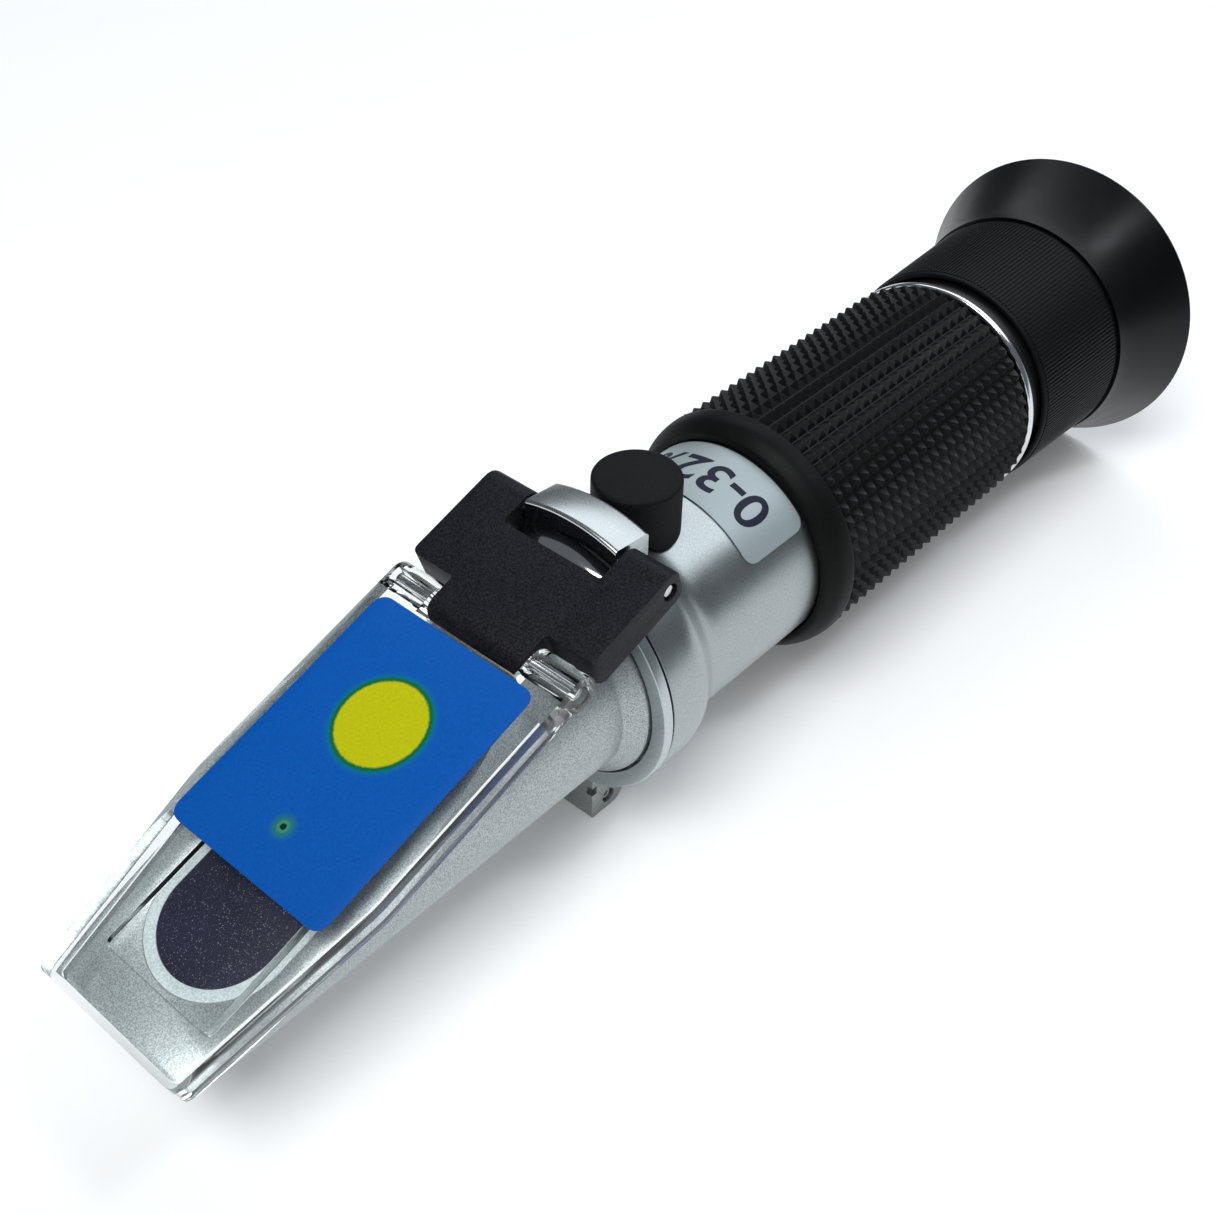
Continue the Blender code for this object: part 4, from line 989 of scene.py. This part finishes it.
def dress_grip():
    """Grip sleeve with a stud in every cell of its knurl, the collar before it and the ring behind it."""
    pitch = (GRIP_FRONT - GRIP_REAR) / STUD_ROWS
    width = 2 * math.pi * STUD_ROOT / STUD_AROUND
    stud = pyramid(pitch, width, STUD_HEIGHT, tip=0.07)
    studs = studded(stud, GRIP_RUBBER, STUD_ROWS, STUD_AROUND, GRIP_REAR + pitch / 2, pitch, STUD_ROOT)
    sleeve = lathe([(STUD_ROOT, GRIP_FRONT, 0.2), (STUD_ROOT, GRIP_REAR, 0.2), (SLEEVE_BORE, GRIP_REAR),
                    (SLEEVE_BORE, GRIP_FRONT)])
    add_piece("knurled_sleeve", joined(sleeve, studs), GRIP_RUBBER, BARREL, ["grip_sleeve"],
              sharp=25)
    collar = lathe([(SLEEVE_BORE, 75.45), (13.75, 75.45, 0.5), (14.95, 74.1, 1.2), (15.2, 72.6, 0.6),
                    (15.2, 71.8, 0.25), (SLEEVE_BORE, 71.8)])
    add_piece("smooth_collar", collar, COLLAR_RUBBER, BARREL, ["grip_collar"], sharp=50)
    ring = lathe([(14.9, 33.05, 0.35), (14.9, BARREL_REAR, 0.35), (SLEEVE_BORE, BARREL_REAR),
                  (SLEEVE_BORE, 33.05)])
    add_piece("bright_end_ring", ring, POLISH, BARREL, ["end_ring"], sharp=60)


def lens_profile(rear, front, rear_bulge, front_bulge, steps=12):
    """Half outline of a lens, flat or domed on each side."""
    def dome(edge, bulge):
        return [(LENS_RADIUS * step / steps, edge + bulge * (1 - (step / steps) ** 2))
                for step in range(steps + 1)]
    return dome(front, front_bulge) + list(reversed(dome(rear, -rear_bulge)))


def dress_eyepiece():
    """Neck sleeve with its sealing ring, and the lens tube that slides in it with its two lenses."""
    mount = lathe([(10.9, 41.0), (10.9, 31.7), (14.0, 31.7, 0.2), (14.0, 27.9, 0.2), (NECK_OUTER, 27.9),
                   (NECK_OUTER, GROOVE_FRONT), (GROOVE_RADIUS, GROOVE_FRONT), (GROOVE_RADIUS, GROOVE_REAR),
                   (NECK_OUTER, GROOVE_REAR), (NECK_OUTER, 15.6, 0.1), (NECK_INNER, 15.6),
                   (NECK_INNER, 41.0)], MEDIUM)
    add_piece("neck_sleeve", mount, ANODISED, BARREL, ["eyepiece_mount"])
    middle = ((GROOVE_REAR + GROOVE_FRONT) / 2, 11.85)
    seal = lathe([(radius, station) for station, radius in arc(middle, 0.55, 0, 337.5, 15)], MEDIUM)
    add_piece("sealing_ring", seal, COLLAR_RUBBER, BARREL, ["focus_o_ring"], sharp=180)
    tube = lathe([(TUBE_RADIUS, TUBE_FRONT), (TUBE_RADIUS, TUBE_REAR, 0.2), (6.6, TUBE_REAR, 0.15),
                  (6.6, 14.5), (TUBE_BORE, 14.5), (TUBE_BORE, TUBE_FRONT)], MEDIUM)
    add_piece("lens_tube", tube, ANODISED, EYEPIECE, ["eyepiece_tube"])
    for name, node, profile in (("eye_lens_glass", "eye_lens", lens_profile(14.8, 16.6, 0.0, 1.6)),
                                ("field_lens_glass", "field_lens", lens_profile(30.6, 32.2, 1.7, 0.0))):
        add_piece(name, lathe(profile, MEDIUM), LENS, EYEPIECE, [node], sharp=40)
    spacer = lathe([(LENS_RADIUS, 28.4), (LENS_RADIUS, 18.6), (6.5, 18.6), (6.5, 28.4)], MEDIUM)
    add_piece("lens_spacing_tube", spacer, ANODISED, EYEPIECE, ["lens_spacer"])


def dress_focus():
    """Tapering focus ring with a fine rib in every place round it, and the flared eyecup behind it."""
    core = lathe([(FOCUS_NARROW, FOCUS_FRONT, 0.35), (FOCUS_WIDE, FOCUS_REAR, 0.08), (8.8, FOCUS_REAR),
                  (8.8, 13.6), (12.75, 13.6), (12.75, 24.9), (14.4, 24.9), (14.4, FOCUS_FRONT, 0.1)], WIDE)
    rise = FOCUS_WIDE - FOCUS_NARROW
    ridge = rib(RIB_LENGTH, 0.36, 0.13, rise * RIB_LENGTH / 17.4)
    middle = (12.35 + 29.05) / 2
    ribs = studded(ridge, FOCUS_SKIN, 1, RIB_COUNT, middle, 1.0, 15.31 + rise / 2)
    add_piece("ribbed_focus_ring", joined(core, ribs), FOCUS_SKIN, FOCUS, ["focus_ring"],
              sharp=40)
    spread = EYECUP_RADIUS - EYECUP_NECK
    flare = [(EYECUP_NECK + spread * (k / 14) ** 1.3, EYECUP_ROOT - (EYECUP_ROOT - 0.45) * k / 14)
             for k in range(15)]
    hollow = [(EYECUP_RADIUS - 1.5 - (EYECUP_RADIUS - 15.0) * (k / 12) ** 0.8, EYECUP_FLOOR * k / 12)
              for k in range(13)]
    rim = [(EYECUP_RADIUS - 0.12, 0.12), (EYECUP_RADIUS - 0.4, 0.0)]
    floor = [(EYEHOLE_RADIUS, EYECUP_FLOOR, 0.2), (EYEHOLE_RADIUS, EYECUP_ROOT)]
    cup = lathe(flare + rim + hollow + floor, WIDE)
    add_piece("flared_eyecup", cup, EYECUP_RUBBER, FOCUS, ["eyecup"], sharp=45)


def finish_carried_nodes():
    """Give every node that still shows a finish of its own."""
    finishes = {
        "prism_cradle": ANODISED, "cradle_screw_rear": STEEL, "cradle_screw_front": STEEL,
        "strip_anchor": STEEL, "anchor_screw": STEEL, "return_spring": STEEL, "reticle_cell": ANODISED,
        "reticle_scale": LENS, "reticle_retainer": ANODISED, "objective_cell": ANODISED,
        "objective_lens": LENS, "objective_retainer": ANODISED, "bimetal_strip": BIMETAL,
        "lens_retainer": ANODISED}
    for node, material in finishes.items():
        for each in frame["nodes"][node].material_slots:
            each.material = material


def set_stage():
    """Pale floor under the instrument."""
    shape = bmesh.new()
    bmesh.ops.create_grid(shape, x_segments=1, y_segments=1, size=2.5)
    mesh = to_mesh(shape)
    material, shader, board = new_material("pale paper floor", Roughness=0.85, Emission_Strength=0.12)
    where = board.node("ShaderNodeTexCoord").outputs["Object"]
    board.feed(shader.inputs["Base Color"], board.blend(board.noise(where, 900.0, 3.0),
                                                        (0.95, 0.955, 0.96, 1.0), (0.98, 0.98, 0.98, 1.0)))
    shader.inputs["Emission Color"].default_value = (1.0, 1.0, 1.0, 1.0)
    mesh.materials.append(material)
    floor = bpy.data.objects.new("floor", mesh)
    bpy.context.scene.collection.objects.link(floor)


def add_softbox(name, place_at, target, size, watts, colour):
    """Square or long lamp that faces a target."""
    lamp = bpy.data.lights.new(name, "AREA")
    lamp.shape = "RECTANGLE"
    lamp.size, lamp.size_y = size
    lamp.energy = watts
    lamp.color = colour
    thing = bpy.data.objects.new(name, lamp)
    bpy.context.scene.collection.objects.link(thing)
    thing.location = place_at
    thing.rotation_euler = (Vector(target) - Vector(place_at)).to_track_quat("-Z", "Y").to_euler()


def light_scene():
    """Dim grey room with three soft boxes, in metres: over the tip, behind the barrel and over the eyecup."""
    world = bpy.data.worlds.new("studio")
    bpy.context.scene.world = world
    world.use_nodes = True
    world.node_tree.nodes["Background"].inputs["Color"].default_value = (0.13, 0.14, 0.155, 1.0)
    add_softbox("front_key", (0.42, 0.14, 0.80), (0.0, 0.0, 0.0), (0.5, 0.5), 5.5, (1.0, 1.0, 1.0))
    add_softbox("rear_strip", (-0.52, -0.12, 0.60), (0.0, 0.0, 0.02), (1.2, 0.40), 3.0, (0.93, 0.97, 1.0))
    add_softbox("side_glint", (-0.283, 0.30, 0.68), (-0.08, 0.0, 0.03), (0.12, 0.10), 0.8,
                (0.88, 0.94, 1.0))


def add_camera():
    """Long lens beyond the tip, looking back and down along the barrel. Its turn is in degrees."""
    lens = bpy.data.cameras.new("camera")
    lens.lens = 48.72
    lens.sensor_width = 36.0
    lens.clip_start = 0.005
    lens.clip_end = 50.0
    thing = bpy.data.objects.new("camera", lens)
    bpy.context.scene.collection.objects.link(thing)
    thing.location = (RIM_X + 198.22 * MM, 86.48 * MM, AXIS_Z + 120.67 * MM)
    thing.rotation_euler = [math.radians(angle) for angle in (48.6705, -1.0916, 131.4907)]
    bpy.context.scene.camera = thing


dress_barrel()
dress_barrel_label()
dress_hinge_ring()
dress_housing()
dress_prism()
dress_link()
dress_cover()
dress_cap()
dress_grip()
dress_eyepiece()
dress_focus()
finish_carried_nodes()
set_stage()
light_scene()
add_camera()
bpy.context.scene.view_settings.view_transform = "Standard"
